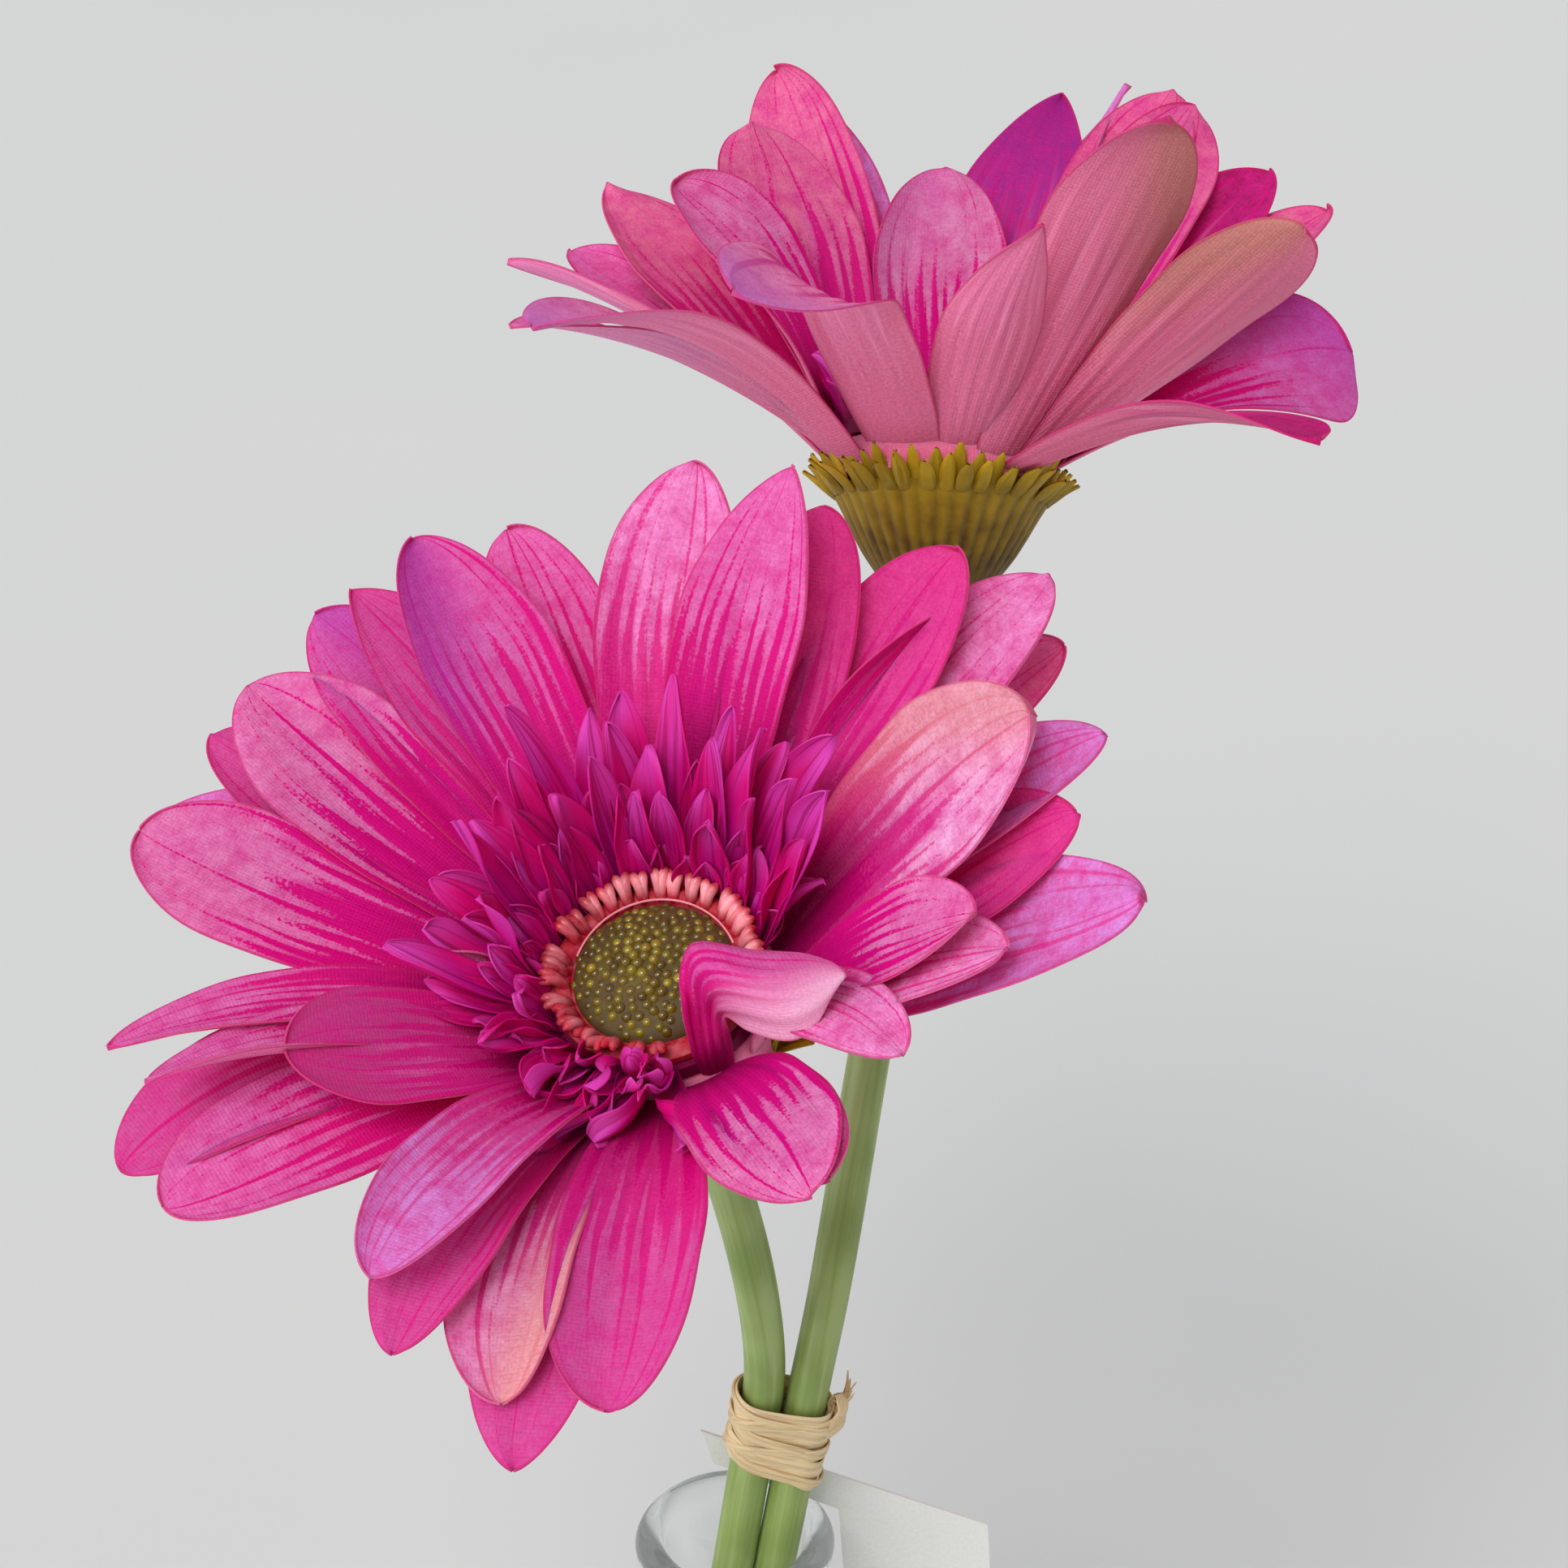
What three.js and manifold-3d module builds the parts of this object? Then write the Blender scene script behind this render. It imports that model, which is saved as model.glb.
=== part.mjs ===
// Two artificial gerberas with a raffia tie and a blank paper tag, standing in a clear glass bottle.
// Millimetres, +Z up. The origin is the middle of the bottle's flat underside.
import * as THREE from 'three';
import { mergeVertices } from 'three/addons/utils/BufferGeometryUtils.js';
import Module from 'manifold-3d';

const wasm = await Module();
wasm.setup();

// Bottle
const BOTTLE_HEIGHT = 160;
const BODY_RADIUS = 33;
const FOOT_RADIUS = 26;
const BODY_TOP = 100;
const SHOULDER_TOP = 131;
const NECK_RADIUS = 12;
const MOUTH_RADIUS = 9.6;
const LIP_RADIUS = 14;
const LIP_HEIGHT = 5.6;
const WALL = 2.7;
const FLOOR_THICKNESS = 5;
const BOTTLE_SIDES = 24;

// Stems
const STEM_RADIUS = 2.9;
const STEM_SIDES = 10;
const STEM_STEPS = 11;
const SEAT_GAP = 0.3;

// Raffia tie
const TIE_CENTRE = new THREE.Vector3(6.25, 0.1, 178.8);
const TIE_HALF_GAP = 3.2;
const TIE_RADIUS = 4.5;
const STRAND_WIDTH = 5;
const STRAND_THICKNESS = 0.8;
const BUNDLE_LEAN = 8;
// One turn of raffia a row: height above the tie's centre, tilt to the side, tilt to the back, added radius.
const TIE_TURNS = [[-6.6, 3, -4, 0.1], [-2.4, -5, 3, 0.25], [1.7, 4, -4, 0], [6, -3, 4, 0.2]];
const TIE_SIDES = 12;

// Paper tag
const TAG_CORNER = new THREE.Vector3(-4.7, 5.8, 173.2);
const TAG_ALONG = new THREE.Vector3(0.922, 0.0, -0.387);
const TAG_DOWN = new THREE.Vector3(-0.387, 0.07, -0.92);
const TAG_LENGTH = 44;
const TAG_DEPTH = 26;
const TAG_SLANT = 0.5;
const TAG_NECK_DEPTH = 5;
const TAG_NECK_END = 23.5;
const TAG_THICKNESS = 0.5;

// Flower head, as heights above the disc's plane and radii about the head's axis
const FOOT_HEIGHT = -24;
const CALYX_TOP = -9.3;
const CALYX_RADIUS = 15;
const CALYX_RIBS = 24;
const SEPAL_RADIUS = 19;
const SEPAL_LIFT = 1.5;
const HUB_TOP = -3;
const HUB_RADIUS = 14.9;
const PETAL_ROOT = 14;
const PLATE_TOP = -0.6;
const PLATE_RADIUS = 13.6;
const FLORET_ROOT = 13;
const RING_INSIDE = 10.4;
const RING_OUTSIDE = 11.6;
const FILAMENTS = 30;
const FILAMENT_RADIUS = 12.6;
const FILAMENT_LIFT = 3.1;
const DISC_RADIUS = 10;
const DISC_DOME = 3.4;
const BLADE_THICKNESS = 0.8;
const BLADE_ROOT = 2.5;

// Heights at which the layers of petals leave the hub
const INNER = -4.2;
const UPPER = -5.2;
const MIDDLE = -6.4;
const LOWER = -7.6;

// One petal a row, in degrees and millimetres, counted round the head from the right:
// azimuth, rise, bend, length, width, sway, roll, cup, point, layer.
const FRONT_PETALS = [
  [89, 38, -12, 56, 18, -20, 0, 20, 0.1, UPPER],
  [74, 41, -10, 56, 17, -15, 0, 20, 0.6, UPPER],
  [62, 35, -12, 54, 16, 15, 0, 20, 0.1, LOWER],
  [52, 30, -18, 54, 18, -2, 0, 20, 0.2, UPPER],
  [44, 30, -24, 59, 17, -4, 0, 15, 0.2, LOWER],
  [46, 24, -14, 49, 15, 5, 60, 30, 0.5, UPPER],
  [48, 15, -16, 52, 15, 4, 60, 30, 0.5, MIDDLE],
  [46, 22, -25, 55, 13, -18, 55, 25, 0.2, LOWER],
  [15, 48, -14, 49, 24, -2, 0, 20, 0, UPPER],
  [15, 45, -24, 54, 16, -8, 0, 20, 0.3, LOWER],
  [0, 50, -18, 47, 18, 12, 0, 20, 0.3, MIDDLE],
  [-11, 39, -15, 55, 18, 3, 0, 15, 0.2, LOWER],
  [-15, 54, -25, 39, 14, 0, 0, 20, 0.1, INNER],
  [-21, 54, -38, 42, 14, 8, 0, 15, 0.1, UPPER],
  [-31, 74, -80, 38.5, 11, -22, 0, 15, 0.1, MIDDLE],
  [-64, 55, -55, 41, 17, 2, 0, 10, 0.1, INNER],
  [-60.5, 57, -57, 40, 14, 2, 0, 10, 0.1, UPPER],
  [-89, 37, -55, 51, 18, -10, 0, 20, 0.1, UPPER],
  [-112, 37, -50, 52, 15, 25, 0, 25, 0.1, MIDDLE],
  [-103, 33, -48, 57, 17, 5, 0, 10, 0.4, LOWER],
  [-120, 43, -48, 53, 14, 15, 0, 20, 0.2, LOWER],
  [-119, 50, -50, 50, 14, 2, 0, 35, 0.1, UPPER],
  [-148, 32, -34, 53, 19, 0, 0, 15, 0, UPPER],
  [-166, 34, -38, 57, 17, 30, 0, 15, 0.1, LOWER],
  [-149, 46, -25, 37, 18, -20, 0, 20, 0, INNER],
  [-175, 34, -22, 55, 12, 25, 25, 30, 0.6, MIDDLE],
  [-164, 42, -24, 54, 12, 20, 35, 30, 0.4, LOWER],
  [170, 27, -18, 55, 19, -20, 0, 15, 0, UPPER],
  [156, 26, -26, 57, 18, 12, 0, 15, 0.1, LOWER],
  [146, 28, -15, 54, 20, -12, 0, 15, 0.1, UPPER],
  [148, 29, -26, 56, 16, -2, 0, 15, 0.3, LOWER],
  [128, 29, -15, 55, 18, 8, 0, 15, 0.3, UPPER],
  [119, 36, -22, 56, 15, 20, 0, 10, 0.6, LOWER],
  [114, 35, -12, 55, 17, 10, 0, 20, 0.2, UPPER],
  [103, 31, -16, 55, 16, 10, 0, 15, 0.1, LOWER],
];
// The petal that stands up beside the disc and folds over it. A row is a point of its near margin, one of its
// ridge and one of its far margin.
const FOLDED_PETAL = [
  [[9.2, -11.2, -5.6], [7.2, -12.3, -5.6], [5.5, -13.1, -5.6]],
  [[9.6, -10.9, 2], [7.2, -12.4, 1], [5.2, -13.2, 2]],
  [[10, -11.5, 7], [7, -9.5, 5], [4.5, -9.5, 7]],
  [[13.5, -15.5, 10], [9.5, -11.5, 14], [6, -3.5, 11]],
  [[19.5, -19, 13], [18, -16, 18], [15, -7.5, 14.5]],
  [[24, -17.5, 17], [25.5, -15, 18.5], [24, -11.5, 17]],
];
const BACK_PETALS = [
  [-83.5, 37, -8, 42, 14, 12, 0, 25, 0.9, UPPER],
  [-62, 47, -8, 55, 18, -6, -8, 20, 0.1, MIDDLE],
  [-38, 36, -8, 51, 18, -14, -22, 20, 0.1, MIDDLE],
  [-115, 40, -52, 48, 21, -12, -34, 20, 0.1, UPPER],
  [-150, 38, -60, 55, 20, 14, -8, 20, 0.2, LOWER],
  [-50, 15.5, -36, 55, 16, -3, 8, 20, 0.2, LOWER],
  [14, 39, -34, 52, 25, 12, 60, 15, 0, MIDDLE],
  [34, 44, -30, 60, 16, 0, 45, 20, 0, LOWER],
  [17, 54, -20, 60, 17, 4, 35, 20, 0.1, LOWER],
  [27, 59, -18, 60, 17, 2, 40, 20, 0.3, UPPER],
  [36, 66, -12, 65, 19, 12, 40, 20, 0.2, UPPER],
  [45, 69, -14, 68, 18, -2, 35, 20, 0.1, MIDDLE],
  [61, 68, -14, 70, 14, -14, -35, 30, 0.5, UPPER],
  [74, 68, -10, 67, 19, -20, 25, 20, 0.7, UPPER],
  [92, 70, 16, 46.5, 19, 0, 0, 20, 0, UPPER],
  [108, 70, -18, 69, 9, 28, -40, 30, 0.5, LOWER],
  [127, 68, -10, 69, 17, -6, -55, 20, 0.5, MIDDLE],
  [140, 66, -2, 55, 21, 0, -32, 20, 0.1, UPPER],
  [170, 75, -45, 46, 19, 0, -45, 20, 0.1, UPPER],
  [152, 51, -12, 60, 21, -2, -40, 20, 0.7, LOWER],
  [162, 40, -25, 59, 12, 0, 10, 30, 0.8, MIDDLE],
  [157, 45, -20, 55, 15, 0, -40, 30, 0.2, LOWER],
  [-158, 32, -42, 51, 14, 5, -10, 20, 0.4, MIDDLE],
  [78, 56, -15, 47, 17, 0, 0, 20, 0.1, MIDDLE],
  [112, 56, -15, 48, 17, 0, 0, 20, 0.1, LOWER],
];

// One ring of florets a row: count, rise, length on the far side, width, spread of the lengths.
const FRONT_FLORETS = [[16, 70, 11, 5.2, 2], [15, 65, 17, 5.6, 3], [15, 60, 26, 6, 4]];
const BACK_FLORETS = [[15, 80, 9, 5.2, 2], [15, 76, 12, 5.6, 3]];

// A head's origin is the middle of its disc's plane. nearLength is the share of their length that the florets
// on the near side have, and none stand in the bare sector, which the folded petal covers.
const FRONT_HEAD = {
  name: 'front',
  origin: new THREE.Vector3(-8.6, -19.7, 264.3),
  axis: new THREE.Vector3(-0.148, -0.386, 0.909),
  petals: FRONT_PETALS,
  folded: true,
  florets: FRONT_FLORETS,
  nearLength: 0.5,
  bare: [-82, 4],
  seed: 11,
};
const BACK_HEAD = {
  name: 'back',
  origin: new THREE.Vector3(28.5, 58, 303),
  axis: new THREE.Vector3(0.05, 0.515, 0.856),
  petals: BACK_PETALS,
  folded: false,
  florets: BACK_FLORETS,
  nearLength: 0.8,
  bare: null,
  seed: 23,
};

// Points of the stems between the bottle's floor and the foot of each calyx
const FRONT_STEM = [[-20, -6, 5.7], [-10.5, -3.2, 85], [0.5, -0.9, 160], [1.9, -0.5, 170], [3.2, -0.4, 179],
  [4.2, -0.2, 187], [4, 0, 195], [2.4, -0.1, 207], [-1.2, -1.8, 224]];
const BACK_STEM = [[-16.5, 3, 5.7], [-5, 0.6, 85], [6.1, -0.8, 158], [8, -0.5, 170], [9.3, -0.4, 179],
  [10.6, 0.2, 187], [13, 4.8, 198], [19.5, 23.5, 231], [24.3, 34.6, 254]];

const material = (color, roughness, extra = {}) => (
  new THREE.MeshStandardMaterial({ color, roughness, ...extra }));
const MATERIALS = {
  glass: material(0xe8eef0, 0.05, { transparent: true, opacity: 0.35 }),
  stem: material(0x84994f, 0.45),
  calyx: material(0x7a6a18, 0.55),
  petal: material(0xd8318f, 0.7),
  floret: material(0xa8088c, 0.7),
  ring: material(0xe08a8c, 0.6),
  disc: material(0x66661a, 0.35),
  raffia: material(0xd9be8e, 0.8),
  paper: material(0xf4f4f2, 0.9),
};

const radians = THREE.MathUtils.degToRad;

// Repeatable draws between 0 and 1.
function randomDraws(seed) {
  let state = seed;
  return () => {
    state = (state * 16807) % 2147483647;
    return state / 2147483647;
  };
}

function toSolid(geometry) {
  const plain = geometry.index ? geometry.clone() : geometry;
  plain.deleteAttribute('normal');
  plain.deleteAttribute('uv');
  const merged = mergeVertices(plain, 1e-4);
  return new wasm.Manifold(new wasm.Mesh({
    numProp: 3,
    vertProperties: new Float32Array(merged.attributes.position.array),
    triVerts: new Uint32Array(merged.index.array),
  }));
}

// Joins the pieces of a node and keeps its largest body, without loose scraps or sealed hollows.
function join(geometries) {
  const joined = geometries.map(toSolid).reduce((all, piece) => all.add(piece));
  const bodies = joined.decompose().sort((a, b) => b.volume() - a.volume());
  const mesh = bodies[0].getMesh();
  const geometry = new THREE.BufferGeometry();
  geometry.setAttribute('position', new THREE.BufferAttribute(new Float32Array(mesh.vertProperties), 3));
  geometry.setIndex(new THREE.BufferAttribute(new Uint32Array(mesh.triVerts), 1));
  return geometry;
}

function meshOf(name, geometry, finish) {
  const mesh = new THREE.Mesh(geometry, finish.clone());
  mesh.name = name;
  return mesh;
}

function geometryOf(points, triangles) {
  const geometry = new THREE.BufferGeometry();
  const flat = points.flatMap((p) => [p.x, p.y, p.z]);
  geometry.setAttribute('position', new THREE.Float32BufferAttribute(flat, 3));
  geometry.setIndex(triangles.flat());
  return geometry;
}

// Share of the full half width at t along a blade, which swells to its widest place and then closes.
function halfWidth(t, point, base = 0.3, peak = 0.66) {
  if (t < peak) return base + (1 - base) * Math.sin((t / peak) * Math.PI / 2) ** 1.15;
  const past = (t - peak) / (1 - peak);
  return Math.max(1 - past ** (2.2 - 0.8 * point), 0) ** (0.5 + 0.4 * point);
}

// The frames along a blade's midline: a point with the side and upward directions of the blade there.
function bladeFrames(blade, stations) {
  const [azimuth, rise, bend, length, , sway, roll] = blade.row;
  const turn = radians(azimuth);
  const out = new THREE.Vector3(Math.cos(turn), Math.sin(turn), 0);
  const side = new THREE.Vector3(-Math.sin(turn), Math.cos(turn), 0);
  const up = new THREE.Vector3(0, 0, 1);
  const mix = (a, b, c) => out.clone().multiplyScalar(a).addScaledVector(side, b).addScaledVector(up, c);
  const headingAt = (t) => {
    const pitch = radians(rise + bend * t ** 1.4);
    const yaw = radians(sway * t ** 1.3);
    return { pitch, yaw };
  };
  const tangentAt = (t) => {
    const { pitch, yaw } = headingAt(t);
    return mix(Math.cos(pitch) * Math.cos(yaw), Math.cos(pitch) * Math.sin(yaw), Math.sin(pitch));
  };
  const place = mix(blade.root, 0, blade.height);
  const frames = [];
  let before = 0;
  for (const t of stations) {
    place.addScaledVector(tangentAt((before + t) / 2), length * (t - before));
    before = t;
    const { yaw } = headingAt(t);
    const level = mix(-Math.sin(yaw), Math.cos(yaw), 0);
    const normal = tangentAt(t).cross(level);
    const twist = radians(roll) * t ** 0.9;
    frames.push({
      t,
      point: place.clone(),
      side: level.clone().multiplyScalar(Math.cos(twist)).addScaledVector(normal, Math.sin(twist)),
      up: normal.clone().multiplyScalar(Math.cos(twist)).addScaledVector(level, -Math.sin(twist)),
    });
  }
  const sunk = frames[0].point.clone().addScaledVector(out, -BLADE_ROOT);
  return [{ t: 0, point: sunk, side, up }, ...frames];
}

// A blade along its midline. across lists shares of its half width.
function bladeGeometry(blade, stations, across) {
  const [, , , , width, , , cup, point] = blade.row;
  const frames = bladeFrames(blade, stations);
  const hollow = Math.max(radians(cup), 0.01);
  return sheetGeometry(frames.map((frame) => {
    const half = Math.max(0.5 * width * halfWidth(frame.t, point), 0.5);
    return across.map((s) => ({
      middle: frame.point.clone()
        .addScaledVector(frame.side, half * Math.sin(hollow * s) / hollow)
        .addScaledVector(frame.up, half * (1 - Math.cos(hollow * s)) / hollow),
      up: frame.up,
    }));
  }));
}

// The folded petal, square to its surface at each point.
function foldedGeometry() {
  const grid = FOLDED_PETAL.map((row) => row.map(([x, y, z]) => new THREE.Vector3(x, y, z)));
  return sheetGeometry(grid.map((row, i) => row.map((middle, j) => {
    const along = grid[Math.min(i + 1, grid.length - 1)][j].clone().sub(grid[Math.max(i - 1, 0)][j]);
    const across = row[Math.min(j + 1, 2)].clone().sub(row[Math.max(j - 1, 0)]);
    return { middle, up: along.cross(across).normalize() };
  })));
}

// A closed sheet of even thickness over rows of points with their upward directions, split alike on both
// faces.
function sheetGeometry(rows) {
  const shifted = (amount) => rows.flat().map(({ middle, up }) => middle.clone().addScaledVector(up, amount));
  const top = shifted(BLADE_THICKNESS / 2);
  const under = shifted(-BLADE_THICKNESS / 2);
  const count = top.length;
  const wide = rows[0].length;
  const triangles = [];
  const quad = (a, b, c, d) => triangles.push([a, b, c], [a, c, d]);
  const last = wide * (rows.length - 1);
  for (let a = 0; a < last; a += wide) {
    for (let j = a; j < a + wide - 1; j += 1) {
      quad(j, j + wide, j + wide + 1, j + 1);
      triangles.push([count + j, count + j + wide + 1, count + j + wide]);
      triangles.push([count + j, count + j + 1, count + j + wide + 1]);
    }
    const b = a + wide - 1;
    quad(a, count + a, count + a + wide, a + wide);
    quad(b, b + wide, count + b + wide, count + b);
  }
  for (let j = 0; j < wide - 1; j += 1) {
    quad(j, j + 1, count + j + 1, count + j);
    quad(last + j, count + last + j, count + last + j + 1, last + j + 1);
  }
  return geometryOf([...top, ...under], triangles);
}

function latheAboutZ(profile, sides) {
  return new THREE.LatheGeometry(profile.map(([r, z]) => new THREE.Vector2(r, z)), sides)
    .rotateX(Math.PI / 2);
}

// A grid of rings between two poles on the axis: radius and height are functions of the row and the turn.
function polarSolid(rows, sides, pointAt, bottom, top) {
  const points = [new THREE.Vector3(0, 0, bottom)];
  for (let i = 0; i < rows; i += 1) {
    for (let j = 0; j < sides; j += 1) {
      const turn = (2 * Math.PI * j) / sides;
      const [radius, height] = pointAt(i, j, turn);
      points.push(new THREE.Vector3(radius * Math.cos(turn), radius * Math.sin(turn), height));
    }
  }
  points.push(new THREE.Vector3(0, 0, top));
  const at = (i, j) => 1 + i * sides + (j % sides);
  const triangles = [];
  for (let j = 0; j < sides; j += 1) {
    triangles.push([0, at(0, j + 1), at(0, j)]);
    triangles.push([points.length - 1, at(rows - 1, j), at(rows - 1, j + 1)]);
    for (let i = 0; i < rows - 1; i += 1) {
      triangles.push([at(i, j), at(i, j + 1), at(i + 1, j + 1)], [at(i, j), at(i + 1, j + 1), at(i + 1, j)]);
    }
  }
  return geometryOf(points, triangles);
}

const LONG_STATIONS = [0, 0.28, 0.54, 0.8, 1];
const SHORT_STATIONS = [0, 0.38, 0.72, 1];
const FLORET_STATIONS = [0, 0.5, 1];
const FLAT = [-1, 1];
const TROUGH = [-1, 0, 1];

function petalsGeometry(head) {
  const hub = latheAboutZ([[0, CALYX_TOP + SEAT_GAP], [13.2, CALYX_TOP + SEAT_GAP], [HUB_RADIUS, -8],
    [HUB_RADIUS, -4.5], [13.2, HUB_TOP], [0, HUB_TOP]], 24);
  const blades = head.petals.map((row) => {
    const stations = row[9] > MIDDLE ? LONG_STATIONS : SHORT_STATIONS;
    const across = row[9] > MIDDLE && row[7] > 15 ? TROUGH : FLAT;
    return bladeGeometry({ row, root: PETAL_ROOT, height: row[9] }, stations, across);
  });
  if (head.folded) blades.push(foldedGeometry());
  return join([hub, ...blades]);
}

// Florets spread evenly round the plate, longest on the far side, and none where the folded petal stands.
function floretRows(head) {
  const draw = randomDraws(head.seed);
  const rows = [];
  head.florets.forEach(([count, rise, farLength, width, spread], ring) => {
    for (let k = 0; k < count; k += 1) {
      const azimuth = (360 * (k + 0.5 * ring)) / count + 8 * (draw() - 0.5);
      const facing = 0.5 + 0.5 * Math.sin(radians(azimuth));
      const length = farLength * (head.nearLength + (1 - head.nearLength) * facing) + spread * (draw() - 0.5);
      const lean = rise + 6 * (draw() - 0.5);
      const sway = 30 * (draw() - 0.5);
      const turned = azimuth > 180 ? azimuth - 360 : azimuth;
      const covered = head.bare && turned > head.bare[0] && turned < head.bare[1];
      if (!covered) rows.push([azimuth, lean, -14, length, width, sway, 0, 15, 0.8]);
    }
  });
  return rows;
}

function floretsGeometry(head) {
  const plate = latheAboutZ([[0, HUB_TOP + SEAT_GAP], [PLATE_RADIUS, HUB_TOP + SEAT_GAP],
    [PLATE_RADIUS, PLATE_TOP], [0, PLATE_TOP]], 24);
  const height = (HUB_TOP + PLATE_TOP) / 2 + 0.1;
  const blades = floretRows(head).map((row) => (
    bladeGeometry({ row, root: FLORET_ROOT, height }, FLORET_STATIONS, FLAT)));
  return join([plate, ...blades]);
}

// A closed loop of sections about the axis: each section's points are a function of the turn.
function loopSolid(sides, corners, pointAt) {
  const points = [];
  for (let k = 0; k < sides; k += 1) {
    for (let j = 0; j < corners; j += 1) points.push(pointAt(k, j));
  }
  const triangles = [];
  for (let k = 0; k < sides; k += 1) {
    for (let j = 0; j < corners; j += 1) {
      const a = corners * k + j;
      const b = corners * k + ((j + 1) % corners);
      const c = corners * ((k + 1) % sides) + ((j + 1) % corners);
      const d = corners * ((k + 1) % sides) + j;
      triangles.push([a, c, b], [a, d, c]);
    }
  }
  return geometryOf(points, triangles);
}

// A crown of filaments: every other spoke of the ring reaches out and up, the ones between stay low.
function ringGeometry(head) {
  return loopSolid(2 * FILAMENTS, 4, (k, j) => {
    const turn = (Math.PI * (k + 0.5)) / FILAMENTS;
    const degrees = THREE.MathUtils.radToDeg(turn > Math.PI ? turn - 2 * Math.PI : turn);
    const covered = head.bare && degrees > head.bare[0] && degrees < head.bare[1];
    const reach = k % 2 === 0 && !covered ? 1 : 0;
    const outer = THREE.MathUtils.lerp(RING_OUTSIDE, FILAMENT_RADIUS, reach);
    const lift = THREE.MathUtils.lerp(0, FILAMENT_LIFT - 0.9, reach);
    const corners = [[RING_INSIDE, -0.3], [outer, lift - 0.3], [outer, lift + 0.9], [RING_INSIDE, 0.7]];
    const [radius, height] = corners[j];
    return new THREE.Vector3(radius * Math.cos(turn), radius * Math.sin(turn), height);
  });
}

// A low dome with raised nubs where the rows and turns cross.
function discGeometry() {
  const rows = 6;
  const sides = 26;
  return polarSolid(rows + 1, sides, (i, j) => {
    if (i === 0) return [DISC_RADIUS, -0.3];
    const share = 1 - (i - 1) / rows;
    const nub = (i + j) % 2 === 0 && i > 1 ? 0.45 : 0;
    return [DISC_RADIUS * share, 0.4 + DISC_DOME * (1 - share * share) + nub];
  }, -0.3, 0.6 + DISC_DOME);
}

// A ribbed cup, closed at its top. Its rim runs out into flaring sepal tips, one to each rib.
function calyxGeometry() {
  const tip = SEPAL_RADIUS - CALYX_RADIUS;
  // Radius and height of each row, with what a rib adds to the two.
  const profile = [[3.4, FOOT_HEIGHT, 0, 0], [6.4, -22.4, 0, 0], [9.7, -18.6, 0.5, 0], [12.2, -14.2, 0.5, 0],
    [CALYX_RADIUS - 0.6, CALYX_TOP - 1.6, 0.5, 0], [CALYX_RADIUS, CALYX_TOP - 0.7, tip, SEPAL_LIFT],
    [CALYX_RADIUS - 0.2, CALYX_TOP, tip - 0.1, SEPAL_LIFT], [CALYX_RADIUS - 0.8, CALYX_TOP, 0, 0]];
  return polarSolid(profile.length, 2 * CALYX_RIBS, (i, j) => {
    const [radius, height, out, lift] = profile[i];
    return j % 2 === 0 ? [radius + out, height + lift] : [radius, height];
  }, FOOT_HEIGHT, CALYX_TOP);
}

function headGroup(head) {
  const group = new THREE.Group();
  const axis = head.axis.clone().normalize();
  const right = new THREE.Vector3(1, 0, 0).addScaledVector(axis, -axis.x).normalize();
  const turned = new THREE.Matrix4().makeBasis(right, axis.clone().cross(right), axis);
  group.quaternion.setFromRotationMatrix(turned);
  group.position.copy(head.origin);
  group.add(
    meshOf(`calyx_${head.name}`, calyxGeometry(), MATERIALS.calyx),
    meshOf(`petals_${head.name}`, petalsGeometry(head), MATERIALS.petal),
    meshOf(`florets_${head.name}`, floretsGeometry(head), MATERIALS.floret),
    meshOf(`ring_${head.name}`, ringGeometry(head), MATERIALS.ring),
    meshOf(`disc_${head.name}`, discGeometry(), MATERIALS.disc),
  );
  return group;
}

// The stem ends square to the head's axis, just under the foot of the calyx.
function stemGeometry(points, head) {
  const axis = head.axis.clone().normalize();
  const end = head.origin.clone().addScaledVector(axis, FOOT_HEIGHT - SEAT_GAP);
  const path = points.map(([x, y, z]) => new THREE.Vector3(x, y, z));
  path.push(end.clone().addScaledVector(axis, -6), end);
  const section = new THREE.Shape().absarc(0, 0, STEM_RADIUS, 0, 2 * Math.PI);
  const curve = new THREE.CatmullRomCurve3(path, false, 'centripetal');
  const options = { steps: STEM_STEPS, curveSegments: STEM_SIDES / 2, extrudePath: curve };
  return new THREE.ExtrudeGeometry(section, options);
}

function bottleProfile() {
  const corner = 7;
  const arc = (cr, cz, radius, from, to, count) => Array.from({ length: count + 1 }, (_, k) => {
    const turn = radians(from + ((to - from) * k) / count);
    return [cr + radius * Math.cos(turn), cz + radius * Math.sin(turn)];
  });
  const shoulder = (offset, count) => Array.from({ length: count + 1 }, (_, k) => {
    const share = k / count;
    const blend = (1 + Math.cos(Math.PI * share)) / 2;
    return [NECK_RADIUS - offset + (BODY_RADIUS - NECK_RADIUS) * blend,
      BODY_TOP + (SHOULDER_TOP - BODY_TOP) * share];
  });
  const lipMiddle = (LIP_RADIUS + MOUTH_RADIUS) / 2;
  const lipRound = (LIP_RADIUS - MOUTH_RADIUS) / 2;
  const outside = [[0, 0], ...arc(FOOT_RADIUS, corner, corner, -90, 0, 2), ...shoulder(0, 5)];
  const lip = [[NECK_RADIUS, BOTTLE_HEIGHT - LIP_HEIGHT - 1.5],
    ...arc(lipMiddle, BOTTLE_HEIGHT - lipRound, lipRound, -20, 180, 5)];
  const inside = [...shoulder(WALL, 5).reverse(), [BODY_RADIUS - WALL, FLOOR_THICKNESS + 5],
    [FOOT_RADIUS, FLOOR_THICKNESS], [0, FLOOR_THICKNESS]];
  return [...outside, ...lip, ...inside];
}

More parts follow.
